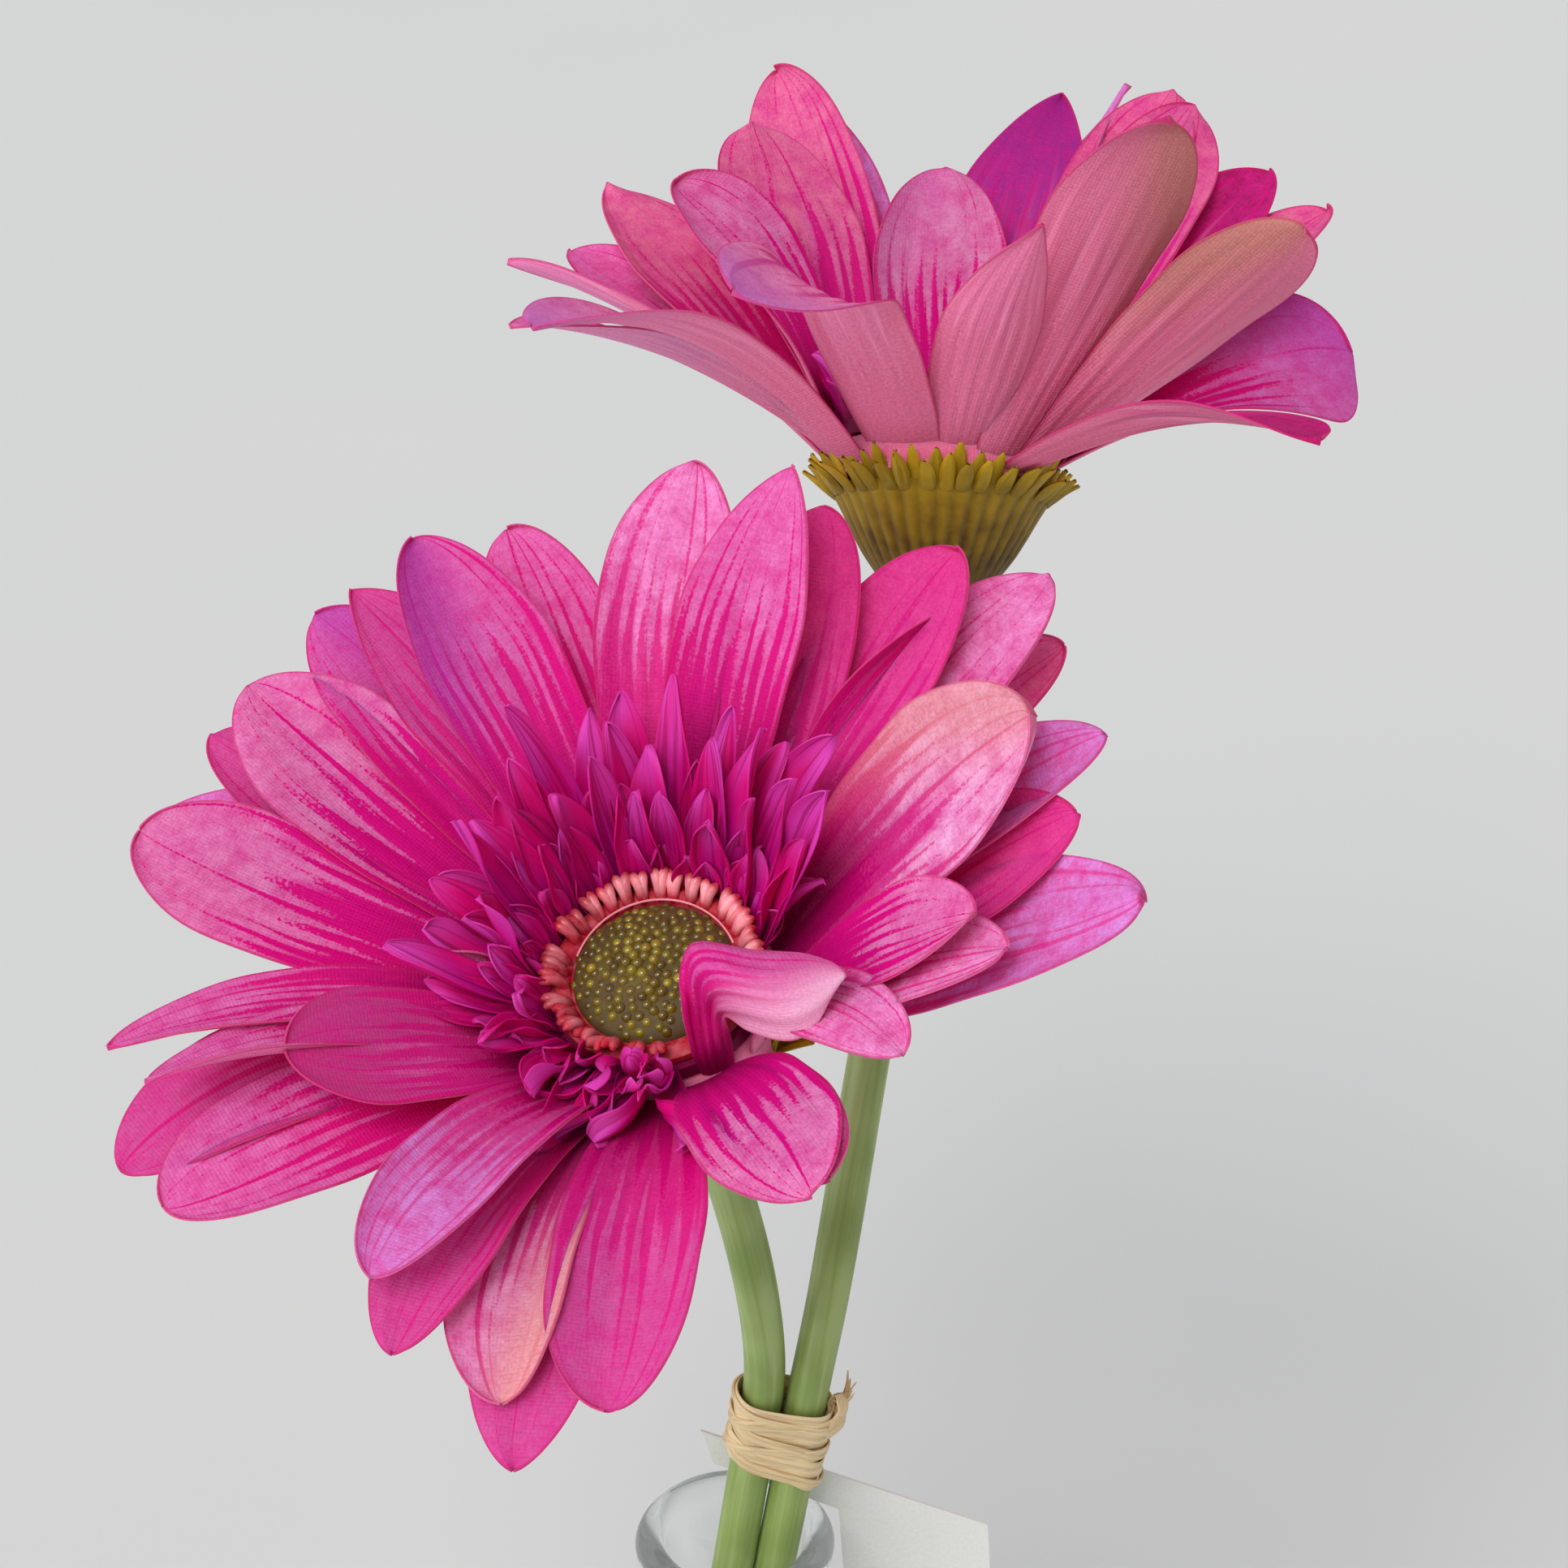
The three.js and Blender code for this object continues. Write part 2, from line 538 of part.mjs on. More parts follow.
// One turn of raffia: a flat strand bent round both stems and tilted across them.
function turnGeometry([rise, sideTilt, backTilt, extra]) {
  const tilts = new THREE.Euler(radians(backTilt), radians(sideTilt), 0);
  const tilt = new THREE.Matrix4().makeRotationFromEuler(tilts);
  const lean = new THREE.Matrix4().makeRotationY(radians(BUNDLE_LEAN));
  const corners = [[-1, -1], [1, -1], [1, 1], [-1, 1]];
  return loopSolid(TIE_SIDES, 4, (k, j) => {
    const turn = (2 * Math.PI * (k + 0.5)) / TIE_SIDES;
    const [across, height] = corners[j];
    const radius = TIE_RADIUS + extra + 0.5 * across * STRAND_THICKNESS;
    const middle = Math.sign(Math.cos(turn)) * TIE_HALF_GAP;
    const x = middle + radius * Math.cos(turn);
    const y = radius * Math.sin(turn);
    const point = new THREE.Vector3(x, y, 0.5 * height * STRAND_WIDTH).applyMatrix4(tilt);
    point.z += rise;
    return point.applyMatrix4(lean).add(TIE_CENTRE);
  });
}

function tieGeometry() {
  const knot = new THREE.SphereGeometry(2.3, 8, 6).scale(1, 0.8, 1.2)
    .translate(TIE_CENTRE.x + 9.3, TIE_CENTRE.y + 0.6, TIE_CENTRE.z + 4.5);
  return join([...TIE_TURNS.map(turnGeometry), knot]);
}

// A blank card with a narrow neck that passes behind the tie. Its body is cut at a slant.
function tagGeometry() {
  const lean = TAG_SLANT * TAG_DEPTH;
  const outline = new THREE.Shape([[0, 0], [TAG_LENGTH, 0], [TAG_LENGTH + lean, -TAG_DEPTH],
    [TAG_NECK_END + lean - 3, -TAG_DEPTH], [TAG_NECK_END, -TAG_NECK_DEPTH - 1], [4, -TAG_NECK_DEPTH],
  ].map(([x, y]) => new THREE.Vector2(x, y)));
  const card = new THREE.ExtrudeGeometry(outline, { depth: TAG_THICKNESS, bevelEnabled: false });
  const along = TAG_ALONG.clone().normalize();
  const down = TAG_DOWN.clone().addScaledVector(along, -TAG_DOWN.dot(along)).normalize();
  const up = down.negate();
  const basis = new THREE.Matrix4().makeBasis(along, up, along.clone().cross(up));
  return card.applyMatrix4(basis).translate(TAG_CORNER.x, TAG_CORNER.y, TAG_CORNER.z);
}

const part = new THREE.Group();
part.add(
  meshOf('bottle', latheAboutZ(bottleProfile(), BOTTLE_SIDES), MATERIALS.glass),
  meshOf('stem_front', stemGeometry(FRONT_STEM, FRONT_HEAD), MATERIALS.stem),
  meshOf('stem_back', stemGeometry(BACK_STEM, BACK_HEAD), MATERIALS.stem),
  meshOf('raffia_tie', tieGeometry(), MATERIALS.raffia),
  meshOf('paper_tag', tagGeometry(), MATERIALS.paper),
  headGroup(FRONT_HEAD),
  headGroup(BACK_HEAD),
);

export default part;
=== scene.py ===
"""Two artificial gerberas in a clear glass bottle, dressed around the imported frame.

Shapes are worked out in millimetres, +Z up, from the middle of the bottle's underside, and turned into
metres where a mesh is made. Petals and florets are cloth blades that follow the blades of the frame.
"""

import logging
import math
from dataclasses import dataclass, field
from enum import Enum

import bpy
import numpy as np
from mathutils import Euler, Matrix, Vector


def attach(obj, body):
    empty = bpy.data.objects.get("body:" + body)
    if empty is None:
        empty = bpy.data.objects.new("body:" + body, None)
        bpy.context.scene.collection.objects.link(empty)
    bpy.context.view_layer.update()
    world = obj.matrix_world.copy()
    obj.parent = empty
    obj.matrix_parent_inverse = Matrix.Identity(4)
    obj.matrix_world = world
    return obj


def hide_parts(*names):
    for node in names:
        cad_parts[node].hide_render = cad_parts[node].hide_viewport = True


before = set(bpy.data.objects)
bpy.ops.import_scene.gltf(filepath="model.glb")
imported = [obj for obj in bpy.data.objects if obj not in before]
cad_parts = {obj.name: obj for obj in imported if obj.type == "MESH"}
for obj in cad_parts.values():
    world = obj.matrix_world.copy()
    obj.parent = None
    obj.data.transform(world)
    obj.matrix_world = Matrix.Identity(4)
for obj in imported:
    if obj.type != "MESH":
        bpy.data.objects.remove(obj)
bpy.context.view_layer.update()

LOG = logging.getLogger("gerberas")
MM = 0.001
GOLDEN_ANGLE = 2.399963  # in radians

Array = np.ndarray
Point = tuple[float, float, float]
Line = tuple[Point, ...]
Profile = tuple[tuple[float, float], ...]
Materials = dict[str, bpy.types.Material]


# Arrays and meshes


def linear(hex_colour: str) -> tuple[float, float, float, float]:
    """Turns an sRGB hex colour into the linear colour that a shader reads.

    Each part follows the sRGB curve: a straight line near black, and a power of 2.4 above it.

    Args:
        hex_colour: Six hex digits with a leading hash sign.

    Returns:
        Red, green, blue and an alpha of 1.
    """
    parts = [int(hex_colour[k : k + 2], 16) / 255 for k in (1, 3, 5)]
    low = [p / 12.92 if p <= 0.04045 else ((p + 0.055) / 1.055) ** 2.4 for p in parts]
    return (low[0], low[1], low[2], 1.0)


def unit(vectors: Array) -> Array:
    """Scales vectors along the last axis to length one."""
    return vectors / np.maximum(np.linalg.norm(vectors, axis=-1, keepdims=True), 1e-12)


def normals(grid: Array) -> Array:
    """Gives a grid's normals: the cross product of its directions along the rows' order and along a row."""
    return unit(np.cross(np.gradient(grid, axis=0), np.gradient(grid, axis=1)))


def lengths(path: Array) -> Array:
    """Gives the running length along a path at each of its points."""
    return np.concatenate([[0], np.cumsum(np.linalg.norm(np.diff(path, axis=0), axis=1))])


def smooth(values: Array, low: float, high: float) -> Array:
    """Eases from 0 at low to 1 at high, as 3x² - 2x³ of the clipped share between them."""
    share = np.clip((values - low) / (high - low), 0, 1)
    return share * share * (3 - 2 * share)


def oval(wide: float, high: float, steps: int) -> Array:
    """Gives an oval section: half sizes wide outward and high across, in steps."""
    turn = np.linspace(0, 2 * np.pi, steps, endpoint=False)
    return np.stack([wide * np.cos(turn), high * np.sin(turn)], -1)


def grid_faces(rows: int, columns: int, around: bool = False, along: bool = False) -> Array:
    """Lists the four-cornered faces of a grid of points that is stored row by row.

    Args:
        rows: Number of rows of points.
        columns: Number of points in a row.
        around: Whether each row closes on itself.
        along: Whether the last row joins the first.

    Returns:
        One row of four point numbers for each face, turned from the columns towards the rows.
    """
    i = np.arange(rows if along else rows - 1)[:, None]
    j = np.arange(columns if around else columns - 1)[None, :]
    after, beside = (i + 1) % rows, (j + 1) % columns
    corners = [i * columns + j, i * columns + beside, after * columns + beside, after * columns + j]
    return np.stack(np.broadcast_arrays(*corners), -1).reshape(-1, 4)


@dataclass
class Patch:
    """A surface as arrays: points in millimetres, faces, cloth coordinates and values at the points."""

    points: Array
    faces: list[Array]
    uv: Array
    values: dict[str, Array] = field(default_factory=dict)

    @staticmethod
    def together(patches: list["Patch"]) -> "Patch":
        """Puts patches in one, without joining their points.

        Args:
            patches: Patches that all hold the first one's named values.

        Returns:
            One patch with every point and face, and with the first one's values.
        """
        starts = np.cumsum([0] + [len(p.points) for p in patches[:-1]])
        faces = [face + start for p, start in zip(patches, starts) for face in p.faces]
        names = patches[0].values
        values = {name: np.concatenate([p.values[name] for p in patches]) for name in names}
        points = np.concatenate([p.points for p in patches])
        return Patch(points, faces, np.concatenate([p.uv for p in patches]), values)

    def tagged(self, **values: float | tuple[float, ...] | Array) -> "Patch":
        """Adds values at the points, each given once for all points or as an array.

        Args:
            values: Numbers, colours or arrays by name.

        Returns:
            The same patch.
        """
        count = len(self.points)
        for name, value in values.items():
            given = np.asarray(value, float)
            own = given.ndim > 0 and len(given) == count
            self.values[name] = given if own else np.tile(given, (count,) + (1,) * given.ndim)
        return self

    def piece(self, name: str, material: bpy.types.Material, crease: float = 50) -> bpy.types.Object:
        """Makes a Blender object at the origin from the patch.

        Args:
            name: Name of the object.
            material: Its one material.
            crease: Angle in degrees past which an edge is shaded sharp.

        Returns:
            The new object.
        """
        mesh = bpy.data.meshes.new(name)
        faces = [row for face in self.faces for row in face.tolist()]
        mesh.from_pydata((self.points * MM).tolist(), [], faces)
        corner = np.empty(len(mesh.loops), np.int32)
        mesh.loops.foreach_get("vertex_index", corner)
        layer = mesh.uv_layers.new(name="cloth")
        layer.data.foreach_set("uv", self.uv[corner].astype(np.float32).ravel())
        for key, value in self.values.items():
            kind, slot = ("FLOAT_COLOR", "color") if value.ndim == 2 else ("FLOAT", "value")
            attribute = mesh.attributes.new(key, kind, "POINT")
            attribute.data.foreach_set(slot, value.astype(np.float32).ravel())
        mesh.shade_smooth()
        mesh.set_sharp_from_angle(angle=math.radians(crease))
        mesh.materials.append(material)
        mesh.validate()
        made = bpy.data.objects.new(name, mesh)
        bpy.context.scene.collection.objects.link(made)
        return made


def closed_sheet(middle: Array, thickness: float, uv: Array, **values: Array) -> Patch:
    """Thickens a grid of points into a closed sheet.

    A point of either face lies half the thickness from the grid along the normal. Four strips close the
    border.

    Args:
        middle: Points of the middle surface, rows by columns by 3.
        thickness: Thickness in millimetres.
        uv: Cloth coordinates, rows by columns by 2.
        values: Values at the grid's points by name, rows by columns, which count for both faces.

    Returns:
        The sheet, with these values and the value back, 0 on the face and 1 on the underside.
    """
    rows, columns = middle.shape[:2]
    half = thickness / 2 * normals(middle)
    points = np.concatenate([(middle + half).reshape(-1, 3), (middle - half).reshape(-1, 3)])
    count = rows * columns
    faces = grid_faces(rows, columns)
    numbers = np.arange(count).reshape(rows, columns)
    border = np.concatenate([numbers[0], numbers[1:, -1], numbers[-1, -2::-1], numbers[-2:0:-1, 0]])
    after = np.roll(border, -1)
    rim = np.stack([border, after, after + count, border + count], -1)
    sheet = Patch(points, [faces[:, ::-1], faces + count, rim], np.tile(uv.reshape(-1, 2), (2, 1)))
    both = {name: np.tile(value.ravel(), 2) for name, value in values.items()}
    return sheet.tagged(back=np.repeat([0.0, 1.0], count), **both)


def capped_tube(points: Array, poles: Array, uv: Array) -> Patch:
    """Closes a tube of points with a fan of triangles at either end.

    Args:
        points: Points of the tube, rings by steps by 3.
        poles: Middle points of the first and the last end.
        uv: Cloth coordinates, rings by steps by 2.

    Returns:
        The closed surface.
    """
    rings, steps = points.shape[:2]
    j, pole = np.arange(steps), np.full(steps, rings * steps)
    beside, last = (j + 1) % steps, (rings - 1) * steps
    fans = [np.stack([pole, beside, j], -1), np.stack([pole + 1, last + j, last + beside], -1)]
    flat = np.concatenate([points.reshape(-1, 3), poles])
    ends = [[0, uv[0, 0, 1]], [0, uv[-1, 0, 1]]]
    faces = [grid_faces(rings, steps, around=True), *fans]
    return Patch(flat, faces, np.concatenate([uv.reshape(-1, 2), ends]))


def lathe(profile: Array | Profile, sides: int) -> Patch:
    """Turns a profile about the Z axis.

    A point is (r cos a, r sin a, z) for each profile point (r, z) and turn a. The profile starts and ends on
    the axis, where a fan of triangles closes it, and runs so that the solid is on its left side.

    Args:
        profile: Radii and heights, points by 2.
        sides: Number of steps round the axis.

    Returns:
        The closed surface, with the cloth coordinates as length round and length along the profile.
    """
    turn = np.linspace(0, 2 * np.pi, sides, endpoint=False)
    whole = np.array(profile)
    inner = whole[1:-1]
    radius, height = inner[:, :1], inner[:, 1:]
    points = np.stack(np.broadcast_arrays(radius * np.cos(turn), radius * np.sin(turn), height), -1)
    uv = np.stack(np.broadcast_arrays(turn * radius, lengths(inner)[:, None]), -1)
    return capped_tube(points, np.array([[0, 0, whole[0, 1]], [0, 0, whole[-1, 1]]]), uv)


def curve_through(knots: Array | Line | Profile, count: int) -> Array:
    """Runs a centripetal Catmull-Rom curve through points.

    Between two points the curve is a cubic whose end slopes come from the neighbours, each weighed by the
    square root of the distance to it.

    Args:
        knots: The points, in order.
        count: Number of points wanted on the curve.

    Returns:
        Points on the curve, evenly spaced in its parameter.
    """
    line = np.array(knots)
    ends = np.concatenate([[2 * line[0] - line[1]], line, [2 * line[-1] - line[-2]]])
    step = np.sqrt(np.linalg.norm(np.diff(ends, axis=0), axis=1))
    place = np.linspace(0, len(line) - 1, count)
    k = np.minimum(place.astype(int), len(line) - 2)
    share = (place - k)[:, None]
    p0, p1, p2, p3 = (ends[k + n] for n in range(4))
    d0, d1, d2 = (step[k + n][:, None] for n in range(3))
    leave = ((p1 - p0) / d0 - (p2 - p0) / (d0 + d1) + (p2 - p1) / d1) * d1
    reach = ((p2 - p1) / d1 - (p3 - p1) / (d1 + d2) + (p3 - p2) / d2) * d1
    s2, s3 = share**2, share**3
    ahead = (2 * s3 - 3 * s2 + 1) * p1 + (s3 - 2 * s2 + share) * leave
    return ahead + (3 * s2 - 2 * s3) * p2 + (s3 - s2) * reach


def swept(path: Array, outward: Array, section: Array, closed: bool = False) -> Patch:
    """Carries a closed section along a path.

    A point is the path's point plus the section's first value along the outward direction, made square to the
    path, plus its second value along the cross product of the path's direction and outward.

    Args:
        path: Points of the path.
        outward: Rough outward direction, one or one for each point.
        section: Section points, turning from outward to the cross direction: steps by 2, or one set a point.
        closed: Whether the path closes on itself. An open path gets its ends closed by fans.

    Returns:
        The closed surface, with the cloth coordinates as length round and length along.
    """
    before = np.roll(path, 1, 0) if closed else np.concatenate([path[:1], path[:-1]])
    behind = np.roll(path, -1, 0) if closed else np.concatenate([path[1:], path[-1:]])
    heading = unit(behind - before)
    out = np.broadcast_to(outward, path.shape)
    out = unit(out - (out * heading).sum(-1, keepdims=True) * heading)
    across = np.cross(heading, out)
    shape = np.broadcast_to(section, (len(path),) + section.shape[-2:])
    points = path[:, None] + shape[..., :1] * out[:, None] + shape[..., 1:] * across[:, None]
    width = np.linalg.norm(shape - np.roll(shape, 1, 1), axis=-1).cumsum(1)
    uv = np.stack(np.broadcast_arrays(width, lengths(path)[:, None]), -1)
    if not closed:
        return capped_tube(points, path[[0, -1]], uv)
    faces = [grid_faces(len(path), shape.shape[1], around=True, along=True)]
    return Patch(points.reshape(-1, 3), faces, uv.reshape(-1, 2))


# Materials

Tree = bpy.types.NodeTree
Socket = bpy.types.NodeSocket

COLOUR = {"data_type": "RGBA", "clamp_result": True}
EASE = {"interpolation_type": "SMOOTHSTEP"}
TIMES = {"operation": "MULTIPLY"}
TIMES_PLUS = {"operation": "MULTIPLY_ADD"}
PLUS = {"operation": "ADD"}
CLOTH = {"uv_map": "cloth"}


def add(tree: Tree, kind: str, inputs: dict, settings: dict | None = None, out: int = 0) -> Socket:
    """Adds a shader node.

    Args:
        tree: Node tree of the material.
        kind: Node type without its ShaderNode prefix.
        inputs: Values or output sockets for its inputs, by name or number.
        settings: Properties of the node by name.
        out: Number of the output that is wanted.

    Returns:
        That output socket.
    """
    node = tree.nodes.new("ShaderNode" + kind)
    for key, value in (settings or {}).items():
        setattr(node, key, value)
    for key, value in inputs.items():
        if isinstance(value, Socket):
            tree.links.new(value, node.inputs[key])
        else:
            node.inputs[key].default_value = value
    return node.outputs[out] if len(node.outputs) else None


def read(tree: Tree, *names: str, out: int = 2) -> list[Socket]:
    """Reads values of the mesh: output 2 is a number, 0 a colour and 3 its alpha."""
    return [add(tree, "Attribute", {}, {"attribute_name": name}, out) for name in names]


def lay(tree: Tree, ground: Socket | str, *layers: tuple[Socket, Socket | str]) -> Socket:
    """Lays colours one over the other.

    Args:
        tree: Node tree of the material.
        ground: The colour below, as a socket or sRGB hex digits.
        layers: Each layer's share and colour, from the lowest up.

    Returns:
        The colour that shows.
    """
    for share, over in layers:
        below, above = (linear(colour) if isinstance(colour, str) else colour for colour in (ground, over))
        ground = add(tree, "Mix", {0: share, 6: below, 7: above}, COLOUR, 2)
    return ground


class Finish:
    """A real finish, made as one material. Each kind of finish fills the node tree in its own way."""

    name: str

    def shader(self, tree: Tree) -> Socket:
        """Adds the finish's nodes to a tree and gives its shader.

        Args:
            tree: Node tree to fill.

        Returns:
            The shader.
        """
        raise NotImplementedError

    def material(self) -> bpy.types.Material:
        """Makes the material.

        Returns:
            The material, under the finish's name.
        """
        made = bpy.data.materials.new(self.name)
        made.use_nodes = True
        made.node_tree.nodes.clear()
        add(made.node_tree, "OutputMaterial", {"Surface": self.shader(made.node_tree)})
        return made


@dataclass(frozen=True)
class Dye:
    """How a petal was airbrushed.

    The outer end has a colour, and the streaks a strength. The blush is a second colour, laid on with a
    strength over the outer part, more on one side: 1 is the anticlockwise margin, -1 the clockwise one.
    """

    end: str
    streaks: float
    blush: str = "#A024A8"
    amount: float = 0.0
    side: float = 0.0

    def paint(self) -> tuple[float, float, float, float]:
        """Gives the end's linear colour, with the streaks' strength in place of the alpha."""
        return linear(self.end)[:3] + (self.streaks,)

    def cover(self, along: Array, across: Array) -> Array:
        """Gives the blush's linear colour at each point, with its strength there in place of the alpha."""
        strength = self.amount * smooth(along + 0.4 * self.side * across, 0.56, 1.12)
        return np.concatenate([np.tile(linear(self.blush)[:3], (len(along), 1)), strength[:, None]], -1)


class Tint(Enum):
    """The dyes in use."""

    PINK = Dye("#DA6EB0", 0.95)
    STRIPED = Dye("#DA7AB0", 1.25)
    PALE = Dye("#E68CC4", 0.8)
    PLAIN = Dye("#C65094", 0.8)
    DUSTY = Dye("#B83C80", 0.8)
    # A dark magenta; on petals that lie in shadow behind others it also stands in for that shade, as painted
    # shade.
    DEEP_AND_SHADE = Dye("#9C125E", 0.9)
    ROSE = Dye("#DC6894", 0.8)
    CERISE = Dye("#DC4492", 0.8)
    MAUVE = Dye("#D084CE", 0.6)
    LILAC = Dye("#F78CB8", 0.8, "#B264B4", 0.95)
    VIOLET = Dye("#D884B0", 1.0, "#B860A4", 0.45, 0.6)
    ORCHID = Dye("#CC6CB4", 1.0, "#A43AA4", 0.55, 0.6)
    BLUSH = Dye("#DC7098", 0.95)
    GRAPE = Dye("#9A2A8C", 0.5, "#8A1474", 0.9)
    VIOLET_LEFT = Dye("#D066AA", 0.95, "#9A2A9C", 0.6, 1.0)
    VIOLET_RIGHT = Dye("#C860A6", 0.95, "#A03AA8", 0.45, -1.0)
    TAN_LEFT = Dye("#B04C70", 0.6, "#9C7650", 0.75, 1.0)
    TAN_RIGHT = Dye("#C05C7C", 0.5, "#A88458", 0.75, -1.0)
    SAND_LEFT = Dye("#F0A4D2", 0.8, "#C48A6C", 0.5, 1.0)
    SALMON = Dye("#E08CBC", 0.85, "#E09C88", 0.6, 1.0)


class SatinCloth(Finish):
    """Woven polyester satin, whose patterns lie over each blade and differ by the blade's seed."""

    seed_shift: float

    def blade(self, tree: Tree, across: Socket, along: Socket, seed: Socket) -> Socket:
        """Gives the coordinates over a blade, with its seed as the third."""
        shift = add(tree, "Math", {0: seed, 1: self.seed_shift}, TIMES)
        return add(tree, "CombineXYZ", {0: across, 1: along, 2: shift})

    def noise(self, tree: Tree, blade: Socket, across: float, along: float, detail: float) -> Socket:
        """Adds a noise over the blade, as fine across and along it as the two scales say."""
        drawn = add(tree, "Mapping", {"Vector": blade, "Scale": (across, along, 1.0)})
        return add(tree, "TexNoise", {"Vector": drawn, "Scale": 1.0, "Detail": detail})


@dataclass(frozen=True)
class PetalCloth(SatinCloth):
    """The cloth of the petals, printed and airbrushed, cut hot and pressed.

    It shows fine threads, streaks along the veins, a mottled pale outer end, and a thin dark line of fused
    threads along the cut edge. The underside took less dye, and its pinks are raised further as painted
    light: the glow of light that comes through the thin cloth.
    """

    name: str = "satin_petal_cloth"
    base: str = "#9C0058"
    streak: str = "#CC0078"
    pale: str = "#DE64AA"
    margin: str = "#CA2484"
    edge: str = "#B81E5C"
    # The underside's pinks: the paler dye of the underside, raised further as painted light coming through
    # the cloth.
    back: str = "#FF98BC"
    back_streak_and_glow: str = "#CE4A78"
    streaks: float = 9.0
    waver: float = 12.0
    seed_shift: float = 40.0
    thread_mm: float = 0.45  # real threads are about 0.25 mm apart, drawn coarser so that they show
    patch_mm: float = 1 / 0.22
    roughness: float = 0.7

    def shader(self, tree: Tree) -> Socket:
        """Paints the cloth from the values along, across, rim, back, seed, tint and blush of the mesh.

        Args:
            tree: Node tree to fill.

        Returns:
            The shader.
        """
        along, across, rim, back, seed = read(tree, "along", "across", "rim", "back", "seed")
        tint, blush = read(tree, "tint", "blush", out=0)
        strength, cover = read(tree, "tint", "blush", out=3)
        cloth = add(tree, "UVMap", {}, CLOTH)
        blade = self.blade(tree, across, along, seed)
        waver = self.noise(tree, blade, 1.2, 2.0, 1.0)
        own = self.noise(tree, blade, 4.2, 0.4, 1.0)
        fine = self.noise(tree, blade, 16.0, 1.4, 3.0)
        grain = add(tree, "TexNoise", {"Vector": cloth, "Scale": 1 / self.thread_mm, "Detail": 1.0})
        # Streaks: a wave across the blade that the noises bend, widen and fray.
        turn = add(tree, "Math", {0: across, 1: math.pi * self.streaks}, TIMES)
        turn = add(tree, "Math", {0: waver, 1: self.waver, 2: turn}, TIMES_PLUS)
        wave = add(tree, "Math", {0: turn}, {"operation": "SINE"})
        fray = add(tree, "Math", {0: grain, 1: 0.34}, TIMES)
        fray = add(tree, "Math", {0: fine, 1: 0.5, 2: fray}, TIMES_PLUS)
        height = add(tree, "Math", {0: wave, 1: 0.13, 2: fray}, TIMES_PLUS)
        height = add(tree, "Math", {0: own, 1: 0.5, 2: height}, TIMES_PLUS)
        # They narrow outwards, each ends at a place of its own, and near the root they run together.
        fall = add(tree, "MapRange", {0: along, 1: 0.28, 2: 0.84, 3: 0.0, 4: 0.42}, EASE)
        height = add(tree, "Math", {0: height, 1: fall}, {"operation": "SUBTRACT"})
        streak = add(tree, "MapRange", {0: height, 1: 0.36, 2: 0.47}, EASE)
        place = add(tree, "Math", {0: own, 1: -1.0, 2: along}, TIMES_PLUS)
        place = add(tree, "Math", {0: fray, 1: 0.5, 2: place}, TIMES_PLUS)
        striped = add(tree, "Math", {0: streak, 1: strength}, {**TIMES, "use_clamp": True})
        root = add(tree, "MapRange", {0: place, 1: 0.22, 2: -0.04}, EASE)
        dark = add(tree, "Math", {0: striped, 1: root}, {"operation": "MAXIMUM"})
        # Between the streaks: pale in the middle, stronger at the margins, the tint at the outer end.
        side = add(tree, "Math", {0: across}, {"operation": "ABSOLUTE"})
        outer = add(tree, "MapRange", {0: side, 1: 0.45, 2: 0.95, 3: 0.0, 4: 0.8}, EASE)
        far = add(tree, "MapRange", {0: place, 1: 0.02, 2: 0.45}, EASE)
        mottle = {"Vector": cloth, "Scale": 1 / self.patch_mm, "Detail": 6.0, "Roughness": 0.82}
        patch = add(tree, "MapRange", {0: add(tree, "TexNoise", mottle), 1: 0.38, 2: 0.64, 3: 0.0, 4: 0.75})
        light = lay(tree, self.pale, (outer, self.margin), (far, tint), (patch, self.margin))
        deep = add(tree, "MapRange", {0: along, 1: 0.1, 2: 0.5}, EASE)
        deep = lay(tree, self.base, (deep, self.streak))
        face = lay(tree, light, (dark, deep), (cover, blush))
        # The underside: the same streaks, fainter, over a lighter pink; both pinks are raised as painted
        # light that the thin cloth lets through.
        parts = ((dark, 0.55), (far, 0.55), (cover, 0.8))
        faint, end, mist = (add(tree, "Math", {0: whole, 1: part}, TIMES) for whole, part in parts)
        underside_and_glow = lay(tree, self.back, (faint, self.back_streak_and_glow), (end, tint), (mist, blush))
        colour = lay(tree, face, (back, underside_and_glow))
        # Threads that took more or less dye, and the fused line along the cut edge.
        fleck = add(tree, "MapRange", {0: grain, 1: 0.3, 2: 0.75, 3: 0.9, 4: 1.14})
        colour = add(tree, "VectorMath", {0: colour, "Scale": fleck}, {"operation": "SCALE"})
        line = add(tree, "MapRange", {0: rim, 1: 0.38, 2: 0.08, 3: 0.0, 4: 0.6}, EASE)
        colour = lay(tree, colour, (line, self.edge))
        # Plain weave: warp and weft as two crossed waves, whose period at scale 1 is 0.314.
        threads = {"Vector": cloth, "Scale": 0.314 / self.thread_mm}
        warp, weft = (add(tree, "TexWave", threads, {"bands_direction": axis}, 1) for axis in "XY")
        weave = add(tree, "Math", {0: warp, 1: weft}, PLUS)
        weave = add(tree, "Math", {0: weave, 1: grain}, PLUS)
        surface = {
            "Base Color": colour,
            "Roughness": self.roughness,
            "Normal": add(tree, "Bump", {"Height": weave, "Strength": 0.4, "Distance": 0.00006}),
            "Specular IOR Level": 0.1,
            "Subsurface Weight": 0.35,
            "Subsurface Radius": (1.0, 0.3, 0.5),
            "Subsurface Scale": 0.0015,
        }
        return add(tree, "BsdfPrincipled", surface)


